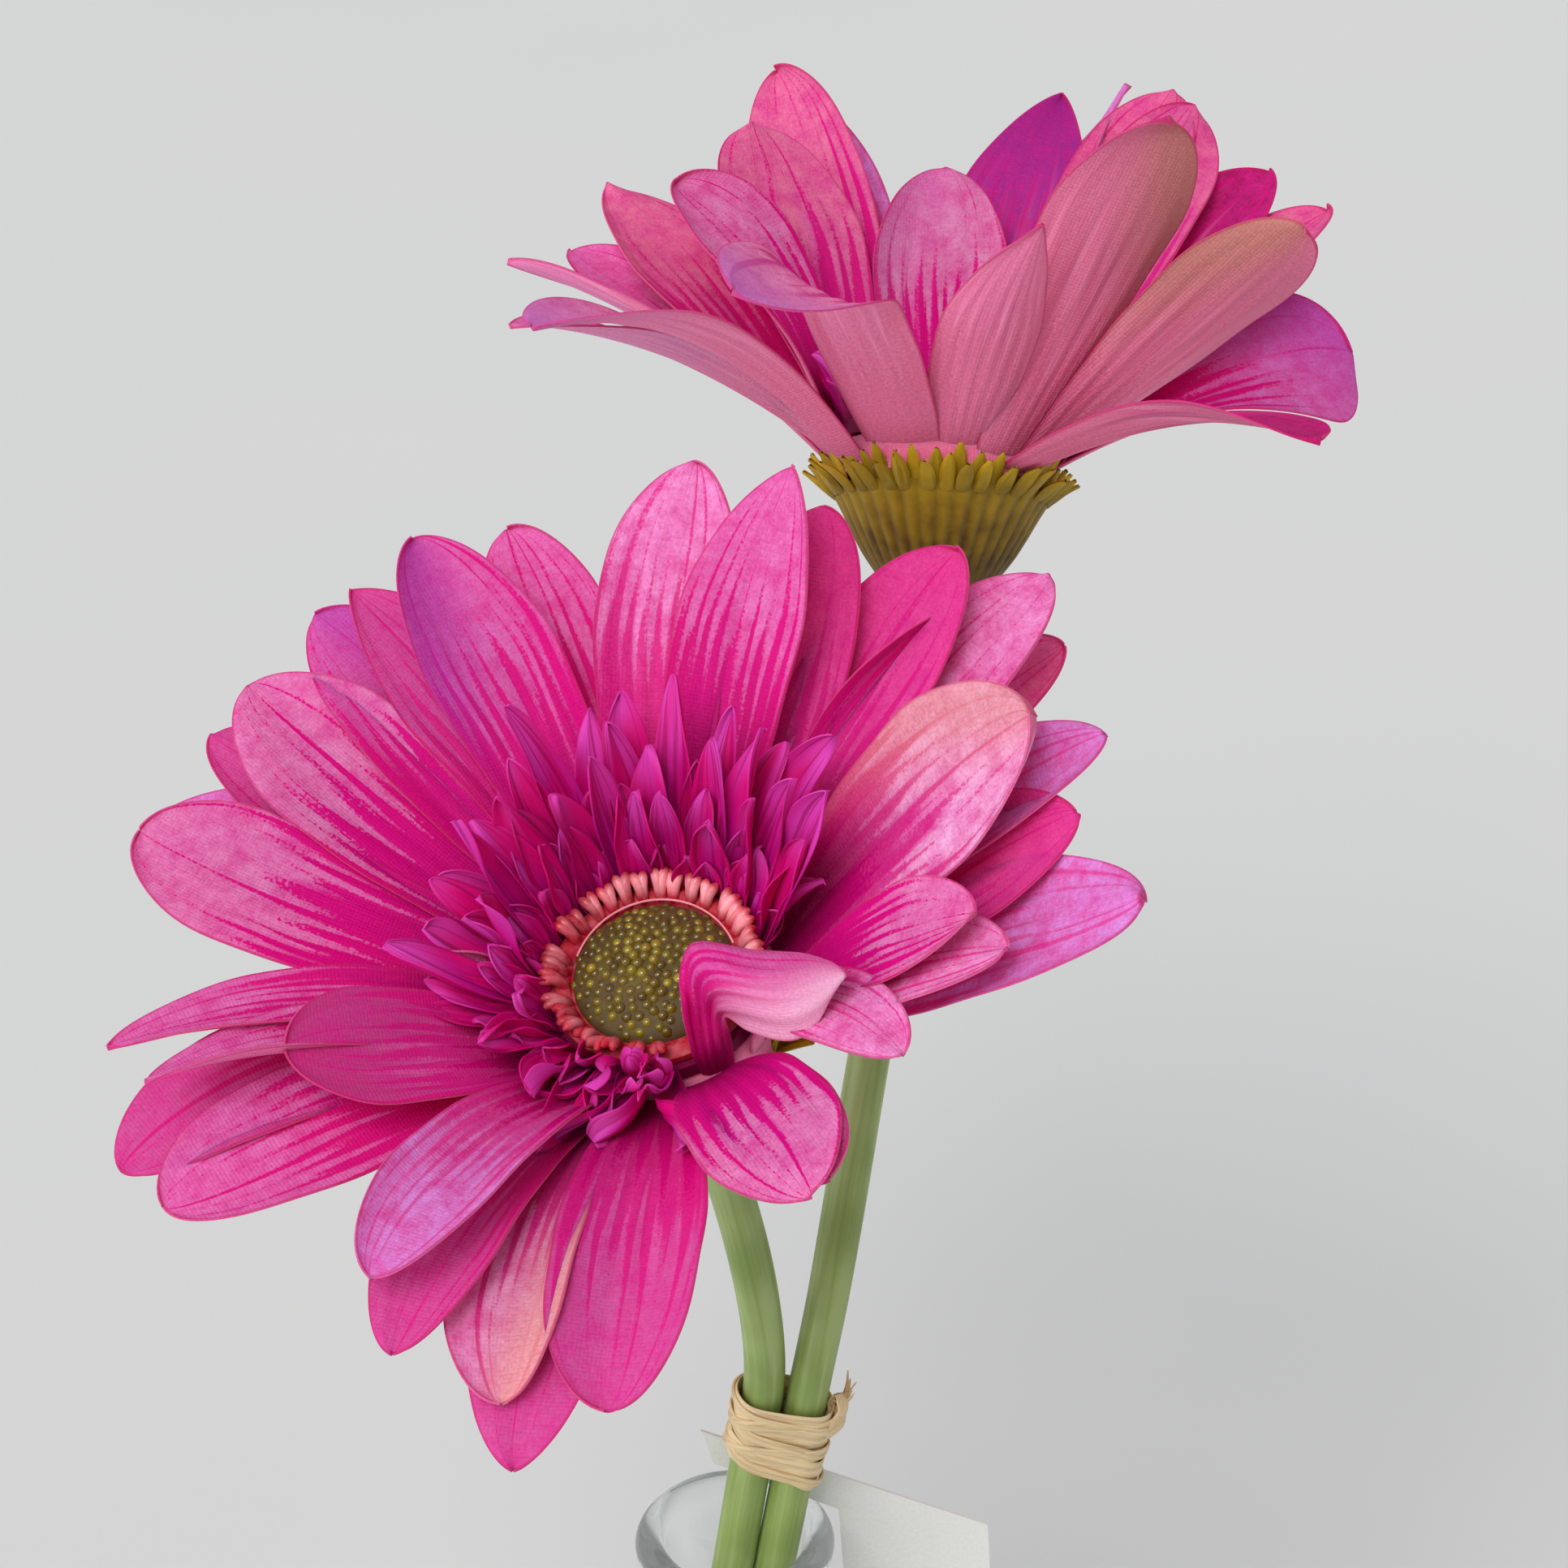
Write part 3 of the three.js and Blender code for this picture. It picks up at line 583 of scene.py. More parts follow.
@dataclass(frozen=True)
class FloretCloth(SatinCloth):
    """The florets' cloth, dyed through and pressed into creases: red magenta to purple, with painted shade in
    the folds.
    """

    name: str = "satin_floret_cloth"
    base: str = "#70003C"
    red: str = "#D00074"
    purple: str = "#BC0486"
    tip: str = "#DC4CBE"
    crease: str = "#90004E"
    # crease: painted shade for the folds, laid along the blade by a stretched noise.
    edge: str = "#C41A7C"
    seed_shift: float = 37.0
    thread_mm: float = 0.45  # real threads are about 0.25 mm apart, drawn coarser so that they show
    roughness: float = 0.6

    def shader(self, tree: Tree) -> Socket:
        """Paints the cloth from the values along, across, rim and seed of the mesh.

        Args:
            tree: Node tree to fill.

        Returns:
            The shader.
        """
        along, across, rim, seed = read(tree, "along", "across", "rim", "seed")
        cloth = add(tree, "UVMap", {}, CLOTH)
        blade = self.blade(tree, across, along, seed)
        # Red and purple clouds over the middle, dark at the root, and a paler tip.
        cloud = self.noise(tree, blade, 0.8, 1.0, 1.0)
        share = add(tree, "MapRange", {0: cloud, 1: 0.42, 2: 0.68}, EASE)
        middle = lay(tree, self.red, (share, self.purple))
        far = add(tree, "MapRange", {0: along, 1: 0.0, 2: 0.45}, EASE)
        varied = add(tree, "Math", {0: cloud, 1: 1.1, 2: along}, TIMES_PLUS)
        end = add(tree, "MapRange", {0: varied, 1: 1.15, 2: 1.75, 3: 0.0, 4: 0.8}, EASE)
        # Painted shade in the creases along the blade, and the cut edge.
        lines = self.noise(tree, blade, 5.0, 0.9, 2.0)
        dark = add(tree, "MapRange", {0: lines, 1: 0.5, 2: 0.64, 3: 0.0, 4: 0.65}, EASE)
        line = add(tree, "MapRange", {0: rim, 1: 0.2, 2: 0.05, 3: 0.0, 4: 0.1}, EASE)
        layers = ((far, middle), (end, self.tip), (dark, self.crease), (line, self.edge))
        grain = add(tree, "TexNoise", {"Vector": cloth, "Scale": 1 / self.thread_mm, "Detail": 1.0})
        surface = {
            "Base Color": lay(tree, self.base, *layers),
            "Roughness": self.roughness,
            "Normal": add(tree, "Bump", {"Height": grain, "Strength": 0.35, "Distance": 0.00008}),
            "Specular IOR Level": 0.15,
            "Subsurface Weight": 0.25,
            "Subsurface Radius": (1.0, 0.15, 0.7),
            "Subsurface Scale": 0.001,
        }
        return add(tree, "BsdfPrincipled", surface)


@dataclass(frozen=True)
class MouldedPlastic(Finish):
    """Injection-moulded polyethylene, satin and slightly translucent.

    It was sprayed in two colours that run into each other with the value shade, and the spray mottles it.
    Some pieces use that value for painted light as well: the pale middles of the filaments are partly
    painted highlight, and the cup is painted darker in the grooves between its ribs.
    """

    name: str
    low: str
    high: str
    roughness: float
    mottle_mm: float
    subsurface: float
    gloss: float
    dull: float = 0.75
    grain_m: float = 0.00003

    def shader(self, tree: Tree) -> Socket:
        """Paints the plastic from the values shade, from 0 to 1, and seed of the mesh.

        Args:
            tree: Node tree to fill.

        Returns:
            The shader.
        """
        shade, seed = read(tree, "shade", "seed")
        where = add(tree, "TexCoord", {}, out=3)
        mottle = {"Vector": where, "Scale": 1000 / self.mottle_mm, "Detail": 4.0, "Roughness": 0.6}
        noise = add(tree, "TexNoise", mottle)
        varied = add(tree, "MapRange", {0: noise, 1: 0.3, 2: 0.7, 3: -0.16, 4: 0.16})
        mixed = add(tree, "Math", {0: shade, 1: varied}, {**PLUS, "use_clamp": True})
        colour = lay(tree, self.low, (mixed, self.high))
        bright = add(tree, "MapRange", {0: seed, 3: 0.82, 4: 1.18})
        surface = {
            "Base Color": add(tree, "VectorMath", {0: colour, "Scale": bright}, {"operation": "SCALE"}),
            "Roughness": add(tree, "MapRange", {0: shade, 1: 0.0, 2: 0.15, 3: self.dull, 4: self.roughness}),
            "Normal": add(tree, "Bump", {"Height": noise, "Strength": 0.4, "Distance": self.grain_m}),
            "IOR": 1.5,
            "Specular IOR Level": self.gloss,
            "Subsurface Weight": self.subsurface,
            "Subsurface Radius": (1.0, 0.8, 0.4),
            "Subsurface Scale": 0.0015,
        }
        return add(tree, "BsdfPrincipled", surface)


@dataclass(frozen=True)
class StemPlastic(Finish):
    """Extruded polyethylene tube over a wire: satin green with faint lengthwise streaks from the die."""

    name: str = "extruded_green_plastic"
    dark: str = "#7E9446"
    light: str = "#A4B872"
    streak_mm: float = 0.9
    patch_mm: float = 1 / 0.06
    roughness: float = 0.42

    def shader(self, tree: Tree) -> Socket:
        """Paints the stem from its cloth coordinates, round and along in millimetres.

        Args:
            tree: Node tree to fill.

        Returns:
            The shader.
        """
        cloth = add(tree, "UVMap", {}, CLOTH)
        drawn = add(tree, "Mapping", {"Vector": cloth, "Scale": (1.0, 0.03, 1.0)})
        noise = add(tree, "TexNoise", {"Vector": drawn, "Scale": 1 / self.streak_mm, "Detail": 3.0})
        patch = add(tree, "TexNoise", {"Vector": cloth, "Scale": 1 / self.patch_mm, "Detail": 3.0})
        mixed = add(tree, "Math", {0: noise, 1: 0.6, 2: patch}, TIMES_PLUS)
        share = add(tree, "MapRange", {0: mixed, 1: 0.55, 2: 1.05}, EASE)
        surface = {
            "Base Color": lay(tree, self.dark, (share, self.light)),
            "Roughness": self.roughness,
            "Normal": add(tree, "Bump", {"Height": noise, "Strength": 0.5, "Distance": 0.00006}),
            "IOR": 1.5,
            "Subsurface Weight": 0.12,
            "Subsurface Radius": (0.6, 1.0, 0.3),
            "Subsurface Scale": 0.002,
        }
        return add(tree, "BsdfPrincipled", surface)


@dataclass(frozen=True)
class RaffiaFibre(Finish):
    """Dried palm leaf split into ribbons: straw-coloured, with long parallel fibres and a waxy half shine."""

    name: str = "dried_raffia"
    straw: str = "#EAD3A6"
    shade: str = "#BC9862"
    fibre_mm: float = 0.35
    roughness: float = 0.55

    def shader(self, tree: Tree) -> Socket:
        """Paints the raffia from its cloth coordinates and the value shade, which browns it.

        Args:
            tree: Node tree to fill.

        Returns:
            The shader.
        """
        (brown,) = read(tree, "shade")
        drawn = add(tree, "Mapping", {"Vector": add(tree, "UVMap", {}, CLOTH), "Scale": (1.0, 0.06, 1.0)})
        noise = add(tree, "TexNoise", {"Vector": drawn, "Scale": 1 / self.fibre_mm, "Detail": 4.0})
        dark = add(tree, "MapRange", {0: noise, 1: 0.5, 2: 0.72, 3: 0.0, 4: 0.7}, EASE)
        dark = add(tree, "Math", {0: dark, 1: brown}, {**PLUS, "use_clamp": True})
        surface = {
            "Base Color": lay(tree, self.straw, (dark, self.shade)),
            "Roughness": self.roughness,
            "Normal": add(tree, "Bump", {"Height": noise, "Strength": 0.8, "Distance": 0.00015}),
        }
        return add(tree, "BsdfPrincipled", surface)


@dataclass(frozen=True)
class TagCard(Finish):
    """Uncoated bleached card, pressed: matt white with a fine fibre mottle."""

    name: str = "uncoated_card"
    white: str = "#EFF0EC"
    grey: str = "#DEDFDA"
    fibre_mm: float = 0.6
    roughness: float = 0.85

    def shader(self, tree: Tree) -> Socket:
        """Paints the card from its cloth coordinates.

        Args:
            tree: Node tree to fill.

        Returns:
            The shader.
        """
        cloth = add(tree, "UVMap", {}, CLOTH)
        noise = add(tree, "TexNoise", {"Vector": cloth, "Scale": 1 / self.fibre_mm, "Detail": 4.0})
        surface = {
            "Base Color": lay(tree, self.white, (noise, self.grey)),
            "Roughness": self.roughness,
            "Normal": add(tree, "Bump", {"Height": noise, "Strength": 0.3, "Distance": 0.00003}),
        }
        return add(tree, "BsdfPrincipled", surface)


@dataclass(frozen=True)
class BottleGlass(Finish):
    """Blown soda-lime glass, fire-polished: clear, a trace of green blue, with a faint sag in its surface."""

    name: str = "blown_clear_glass"
    tone: str = "#F8FBFA"
    ior: float = 1.45
    roughness: float = 0.015
    clear: float = 0.12
    wave_mm: float = 14.0

    def shader(self, tree: Tree) -> Socket:
        """Makes the glass, waved by noise on object coordinates.

        The wall is thin, so a share of the light, clear, goes straight through it.

        Args:
            tree: Node tree to fill.

        Returns:
            The shader.
        """
        where = add(tree, "TexCoord", {}, out=3)
        noise = add(tree, "TexNoise", {"Vector": where, "Scale": 1000 / self.wave_mm, "Detail": 1.0})
        surface = {
            "Base Color": linear(self.tone),
            "Roughness": self.roughness,
            "IOR": self.ior,
            "Transmission Weight": 1.0,
            "Normal": add(tree, "Bump", {"Height": noise, "Strength": 0.25, "Distance": 0.0004}),
        }
        bent = add(tree, "BsdfPrincipled", surface)
        straight = add(tree, "BsdfTransparent", {"Color": linear(self.tone)})
        return add(tree, "MixShader", {0: self.clear, 1: bent, 2: straight})


@dataclass(frozen=True)
class StudioPaper(Finish):
    """Matt painted board under the object: pale grey, with a very soft large mottle."""

    name: str = "studio_board"
    pale: str = "#DADAD9"
    cool: str = "#D0D2D4"
    mottle_m: float = 1 / 3
    roughness: float = 0.85

    def shader(self, tree: Tree) -> Socket:
        """Paints the board from object coordinates.

        Args:
            tree: Node tree to fill.

        Returns:
            The shader.
        """
        where = add(tree, "TexCoord", {}, out=3)
        noise = add(tree, "TexNoise", {"Vector": where, "Scale": 1 / self.mottle_m, "Detail": 2.0})
        colour = lay(tree, self.pale, (noise, self.cool))
        return add(tree, "BsdfPrincipled", {"Base Color": colour, "Roughness": self.roughness})


# Cloth blades


class Layer(Enum):
    """Height above the disc's plane at which a layer of petals leaves the hub, in millimetres."""

    INNER = -4.2
    UPPER = -5.2
    MIDDLE = -6.4
    LOWER = -7.6


@dataclass(frozen=True)
class Sheet:
    """How a blade is drawn: the number of points along it and across it, and its thickness in millimetres."""

    rows: int
    columns: int
    thickness: float


@dataclass(frozen=True)
class TipFold:
    """A tip that is folded over: where along the blade it starts, its turn in degrees, and its span."""

    start: float
    turn: float
    span: float = 0.16


@dataclass(frozen=True)
class Blade:
    """One petal or floret, in degrees and millimetres, as it leaves the head.

    Pleats are given by their places across it, from -1 to 1, their depth, and their half width in the same
    measure as the places.
    """

    azimuth: float
    rise: float
    bend: float
    length: float
    width: float
    sway: float
    roll: float
    cup: float
    point: float
    layer: Layer | float
    tint: Tint = Tint.PINK
    fold: TipFold | None = None
    root: float = 14.0
    wave: float = 1.0
    pleats: tuple[float, ...] = (-0.72, -0.42, -0.14, 0.15, 0.44, 0.7)
    pleat_depth: float = 0.42
    pleat_share: float = 0.09
    base: float = 0.36
    peak: float = 0.66

    def share(self, t: Array) -> Array:
        """Gives the half width at t as a share of the widest.

        From its share at the base it swells as a power of a sine to the widest place, the peak, and closes
        as a power of one less a power.

        Args:
            t: Places along the blade, from 0 to 1.

        Returns:
            Shares from 0 to 1.
        """
        swell = self.base + (1 - self.base) * np.sin(np.minimum(t / self.peak, 1) * np.pi / 2) ** 1.15
        past = np.clip((t - self.peak) / (1 - self.peak), 0, 1)
        close = np.maximum(1 - past ** (2.2 - 0.8 * self.point), 0) ** (0.5 + 0.4 * self.point)
        return np.where(t < self.peak, swell, close)

    def midline(self, t: Array) -> tuple[Array, Array, Array]:
        """Runs the middle line and its frames.

        The pitch is rise + bend t^1.4, with a smooth step of the fold's turn added at the fold, and the yaw
        is sway t^1.3. The points are the running sum of the heading, and the frame turns by roll t^0.9.

        Args:
            t: Places along the blade, from 0 to 1.

        Returns:
            Points, side directions and upward directions, in the head's frame.
        """
        pitch = np.radians(self.rise + self.bend * t**1.4)
        if self.fold:
            start = self.fold.start
            pitch = pitch + np.radians(self.fold.turn) * smooth(t, start, start + self.fold.span)
        yaw = np.radians(self.sway * t**1.3)
        heading = np.stack([np.cos(pitch) * np.cos(yaw), np.cos(pitch) * np.sin(yaw), np.sin(pitch)], -1)
        level = np.stack([-np.sin(yaw), np.cos(yaw), np.zeros_like(t)], -1)
        normal = np.cross(heading, level)
        twist = np.radians(self.roll * t**0.9)[:, None]
        side = np.cos(twist) * level + np.sin(twist) * normal
        up = np.cos(twist) * normal - np.sin(twist) * level
        height = self.layer.value if isinstance(self.layer, Layer) else self.layer
        steps = (heading[1:] + heading[:-1]) / 2 * np.diff(t)[:, None] * self.length
        points = np.concatenate([[[0, 0, 0]], np.cumsum(steps, 0)]) + [self.root, 0, height]
        x, y = math.cos(math.radians(self.azimuth)), math.sin(math.radians(self.azimuth))
        spin = np.array([[x, y, 0], [-y, x, 0], [0, 0, 1]])
        return points @ spin, side @ spin, up @ spin

    def surface(self, plan: Sheet, draw: np.random.Generator) -> Patch:
        """Makes the blade as a closed sheet.

        Across the middle line a point is at half sin(cup s) / cup to the side and half (1 - cos(cup s)) /
        cup up, for s from -1 to 1. Added to that are pressed pleats, bells exp(-((s - c) / w)²) that fade at
        both ends, a wave of the margins that grows with |s|³, and slow random swells. The outline waves too.

        Args:
            plan: How it is drawn.
            draw: Source of random values.

        Returns:
            The sheet, with the values along, across, rim, back and seed.
        """
        t = 1 - (1 - np.linspace(0, 1, plan.rows)) ** 1.7
        s = np.linspace(-1, 1, plan.columns)
        points, side, up = self.midline(t)
        half = 0.5 * self.width * np.maximum(self.share(t), 0.012)
        phase = draw.uniform(0, 2 * np.pi, 8)
        half = half * (1 + 0.02 * np.sin(9 * t + phase[6]) + 0.012 * np.sin(23 * t + phase[7]))
        cup = max(math.radians(self.cup), 0.01)
        lateral = half[:, None] * np.sin(cup * s) / cup
        lift = half[:, None] * (1 - np.cos(cup * s)) / cup
        count = len(self.pleats)
        places = np.array(self.pleats) + draw.uniform(-0.05, 0.05, count)
        bells = np.exp(-(((s[None] - places[:, None]) / self.pleat_share) ** 2))
        depths = self.pleat_depth * draw.uniform(0.4, 1.3, count)
        middle = np.sin(np.pi * np.clip(t, 0, 1) ** 0.8)[:, None]
        lift = lift - middle * (bells * depths[:, None]).sum(0)[None]
        size = self.width / 18 * self.wave
        grown = smooth(t, 0.15, 1.0)[:, None]
        left, right = np.maximum(-s, 0) ** 3, np.maximum(s, 0) ** 3
        ripple = left * np.sin(7 * t + phase[0])[:, None] + right * np.sin(8 * t + phase[1])[:, None]
        lift = lift + 0.9 * size * grown * ripple
        swell = np.sin(3.1 * s + phase[2])[None] * np.sin(5 * t + phase[3])[:, None]
        lift = lift + 0.45 * size * grown * swell
        grid = points[:, None] + lateral[..., None] * side[:, None] + lift[..., None] * up[:, None]
        uv = np.stack(np.broadcast_arrays(half[:, None] * s[None], t[:, None] * self.length), -1)
        slope = np.gradient(half, t) / self.length
        rim = (1 - np.abs(s))[None] * (half / np.sqrt(1 + slope**2))[:, None]
        rim = np.minimum(rim, (1 - t)[:, None] * self.length)
        along, across = np.broadcast_arrays(t[:, None], s[None])
        sheet = closed_sheet(grid, plan.thickness, uv, along=along, across=across, rim=rim)
        return sheet.tagged(seed=draw.uniform())


@dataclass(frozen=True)
class FoldedPetal:
    """The petal that stands up beside the disc, folds over it and comes to lie towards the right.

    Its near margin, ridge and far margin are curves through points chosen in the head's frame.
    """

    near: Line = (
        (9, -11, -4.5), (9.5, -10.5, 2), (10, -11.5, 7), (13.5, -15.5, 10), (19.5, -19, 13), (24, -17.5, 17),
    )
    ridge: Line = (
        (7, -12, -4.5), (7, -12, 1), (7, -9.5, 5), (9.5, -11.5, 14), (18, -16, 18), (25.5, -15, 18.5),
    )
    far: Line = (
        (5.5, -12.5, -4.5), (5, -12.7, 2), (4.5, -9.5, 7), (6, -3.5, 11), (15, -7.5, 14.5), (24, -11.5, 17),
    )
    dye: Dye = Dye("#CE5C9C", 0.9, "#EBA6C6", 1.0, -1.0)
    length: float = 36
    width: float = 16

    def surface(self, plan: Sheet, draw: np.random.Generator) -> Patch:
        """Makes the petal as a closed sheet.

        A point at s across is near (s² - s) / 2 + ridge (1 - s²) + far (s² + s) / 2, for s from -1 to 1,
        drawn in towards the ridge over the last tenth to round the tip, and pleated by a cosine of s.

        Args:
            plan: How it is drawn.
            draw: Source of random values.

        Returns:
            The sheet, with the values along, across, rim, back and seed.
        """
        t = np.linspace(0, 1, plan.rows)[:, None, None]
        s = np.linspace(-1, 1, plan.columns)[None, :, None]
        lines = (self.near, self.ridge, self.far)
        near, ridge, far = (curve_through(line, plan.rows)[:, None] for line in lines)
        middle = near * (s * s - s) / 2 + ridge * (1 - s * s) + far * (s * s + s) / 2
        ending = np.sqrt(np.clip(1 - np.clip((t - 0.9) / 0.1, 0, 1) ** 2, 0.02, 1))
        middle = ridge + (middle - ridge) * ending
        pleats = 0.22 * np.cos(s * 14 + 2 * t) * np.sin(np.pi * t)
        pleats = pleats + 0.3 * s**3 * np.sin(9 * t + draw.uniform(0, 6))
        grid = middle + pleats * normals(middle)
        along, across = np.broadcast_arrays(t[..., 0], s[..., 0])
        uv = np.stack([across * self.width / 2, along * self.length], -1)
        rim = np.minimum((1 - np.abs(across)) * self.width / 2 * ending[..., 0], (1 - along) * self.length)
        sheet = closed_sheet(grid, plan.thickness, uv, along=along, across=across, rim=rim)
        return sheet.tagged(seed=draw.uniform())


# Flower heads


def settle(patch: Patch, node: str, name: str, slot: str, materials: Materials) -> None:
    """Makes a piece that stands for a node of the frame and rides on the one body.

    Args:
        patch: The piece's surface.
        node: The frame's node that it replaces.
        name: Name of the piece.
        slot: Material slot of the record.
        materials: Materials by slot name.
    """
    made = patch.piece(name, materials[slot])
    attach(made, "root")
    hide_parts(node)
    LOG.info("%s: %d faces for %s", name, len(made.data.polygons), node)


@dataclass(frozen=True)
class FloretRing:
    """One ring of florets: their number, rise, length on the far side, width, spread of length, and root."""

    count: int
    rise: float
    far_length: float
    width: float
    spread: float
    root: float


@dataclass
class GerberaHead:
    """One flower: cup, petals, florets, filaments and disc, built about its axis and then set in place.

    The hub, plate, foot and cup are profiles of radii and heights. No florets stand in the bare span, from
    one direction to another in degrees, and no filaments at its start.
    """

    name: str
    origin: Point
    axis: Point
    petals: list[Blade]
    rings: list[FloretRing]
    near_length: float
    near_rise: float
    bare: tuple[float, float] | None
    seed: int
    folded: FoldedPetal | None = None
    petal_sheet: Sheet = Sheet(44, 27, 0.26)
    floret_sheet: Sheet = Sheet(20, 13, 0.2)
    floret_pleats: tuple[float, ...] = (-0.62, -0.3, 0.0, 0.32, 0.6)
    hub: Profile = ((0, -9), (13.2, -9), (14.9, -8), (14.9, -4.5), (13.2, -3), (0, -3))
    plate: Profile = ((0, -2.7), (13.6, -2.7), (13.6, -0.6), (0, -0.6))
    foot: Profile = ((0, -0.3), (12.8, -0.3), (12.8, 0.7), (11.6, 1.3), (10.5, 0.9), (10.2, 0.3), (0, 0.3))
    filaments: int = 33
    filament_mm: float = 0.7
    disc_radius: float = 10.0
    disc_dome: float = 3.4
    nubs: int = 185
    nub_reach: float = 9.6
    cup: Profile = (
        (3.3, -24), (5.2, -23.3), (7.6, -21.4), (9.7, -18.6),
        (11.6, -15.4), (13.2, -12.4), (14.5, -10.2), (15.0, -9.4),
    )
    ribs: int = 36
    rib_steps: int = 8
    rib_height: float = 0.36
    sepal_rows: Line = ((50, -10.6, 14.3), (68, -10.4, 13.9))  # lean, then height and radius of the roots
    sepal_sheet: Sheet = Sheet(12, 7, 0.6)
    sepal_length: float = 5.6
    sepal_width: float = 1.9

    def placed(self, patch: Patch) -> Patch:
        """Sets a patch from the head's frame into the object's.

        Up is the axis, and the head's X direction is the object's, made square to the axis.

        Args:
            patch: Patch in the head's frame.

        Returns:
            The same patch, moved.
        """
        axis = unit(np.array(self.axis))
        right = unit(np.array([1.0, 0, 0]) - axis * axis[0])
        patch.points = patch.points @ np.stack([right, np.cross(axis, right), axis]) + np.array(self.origin)
        return patch

    def petal_patch(self) -> Patch:
        """Makes every petal with the hub that they grow from.

        Returns:
            The petals and the hub.
        """
        draw = np.random.default_rng(self.seed)
        blades = [(blade, blade.tint.value) for blade in self.petals]
        if self.folded:
            blades.append((self.folded, self.folded.dye))
        sheets = []
        for blade, dye in blades:
            sheet = blade.surface(self.petal_sheet, draw)
            cover = dye.cover(sheet.values["along"], sheet.values["across"])
            sheets.append(sheet.tagged(tint=dye.paint(), blush=cover))
        hub = lathe(self.hub, 48).tagged(back=1.0, along=0.4, across=0.5, rim=2.0, seed=0.5)
        hub.tagged(tint=Tint.PINK.value.paint(), blush=(0.0, 0.0, 0.0, 0.0))
        return Patch.together([*sheets, hub])

    def florets(self, draw: np.random.Generator) -> list[Blade]:
        """Lists the florets: evenly round each ring, longest on the far side, crumpled on the near side.

        Args:
            draw: Source of random values.

        Returns:
            The florets' blades.
        """
        blades = []
        for number, ring in enumerate(self.rings):
            for k in range(ring.count):
                azimuth = 360 * (k + 0.5 * number) / ring.count + draw.uniform(-5, 5)
                turned = azimuth - 360 if azimuth > 180 else azimuth
                if self.bare and self.bare[0] < turned < self.bare[1]:
                    continue
                facing = 0.5 + 0.5 * math.sin(math.radians(azimuth))
                near = (1 - facing) ** 2
                length = 6 + (ring.far_length - 7) * (self.near_length + (1 - self.near_length) * facing)
                rise = ring.rise + (self.near_rise - 6 * number - ring.rise) * near
                blade = Blade(
                    azimuth=azimuth,
                    length=length + ring.spread * draw.uniform(-0.5, 0.5),
                    rise=rise + draw.uniform(-9, 9) * (1 + near),
                    bend=draw.uniform(-30, 10) + near * draw.uniform(-50, 50),
                    width=ring.width * draw.uniform(0.8, 1.15) * (1 - 0.12 * near),
                    sway=draw.uniform(-20, 20) * (1 + 2 * near),
                    roll=draw.uniform(-38, 38) * (1 + 1.8 * near),
                    cup=draw.uniform(25, 60) + 30 * near,
                    point=draw.uniform(0.1, 0.7) - 0.1 * near,
                    layer=-1.7 + 0.25 * number,
                    root=ring.root,
                    wave=2.4 + 3.2 * near,
                    pleats=self.floret_pleats,
                    pleat_share=0.12,
                    base=0.5,
                    peak=0.58,
                )
                blades.append(blade)
        return blades

    def floret_patch(self) -> Patch:
        """Makes every floret with the plate that they grow from.

        Returns:
            The florets and the plate.
        """
        draw = np.random.default_rng(self.seed + 1)
        sheets = [blade.surface(self.floret_sheet, draw) for blade in self.florets(draw)]
        plate = lathe(self.plate, 48).tagged(back=0.0, along=0.0, across=0.5, rim=2.0, seed=0.1)
        return Patch.together([*sheets, plate])

    def prong(self, turn: float, reach: float, height: float, way: int, draw: np.random.Generator) -> Patch:
        """Makes one prong of a forked filament, which thins at both ends.

        It goes out from the foot by reach t^1.3, parts from its twin past a third of its length, and rises as
        a sine that passes its top. Its middle is pale, partly the pink of the moulding and partly painted
        highlight, most of all towards the far right.

        Args:
            turn: Direction of the filament, in radians.
            reach: How far out it goes.
            height: How high it rises.
            way: 1 for the prong that parts anticlockwise, -1 for the other.
            draw: Source of random values.

        Returns:
            The prong, with the values shade and seed.
        """
        share = np.linspace(0, 1, 9)
        spread = way * draw.uniform(0.4, 0.75)
        radial = (10.8 + reach * share**1.3)[:, None]
        beside = (spread * smooth(share, 0.3, 1.0) + 0.1 * way)[:, None]
        up = (0.4 + height * np.sin(share * np.pi * draw.uniform(0.5, 0.62)))[:, None]
        out = np.array([math.cos(turn), math.sin(turn), 0])
        side = np.array([-math.sin(turn), math.cos(turn), 0])
        thick = self.filament_mm * np.sqrt(np.clip(1 - (share - 0.45) ** 4 * 9.5, 0.12, 1))
        section = oval(1, 1, 8)
        path = radial * out + beside * side + up * np.array([0, 0, 1.0])
        tube = swept(path, side, section[None] * thick[:, None, None])
        along = np.concatenate([np.repeat(share, len(section)), [0.0, 1.0]])
        bright = smooth(along, 0.15, 0.5) - smooth(along, 0.62, 0.95)
        # pale: how much painted highlight, over the moulding's pink, the filament's middle gets.
        pale = draw.uniform(-0.1, 0.5) + 0.6 * max(math.cos(turn - 1.0), 0)
        return tube.tagged(shade=np.clip(0.04 + pale * bright, 0, 1), seed=draw.uniform())

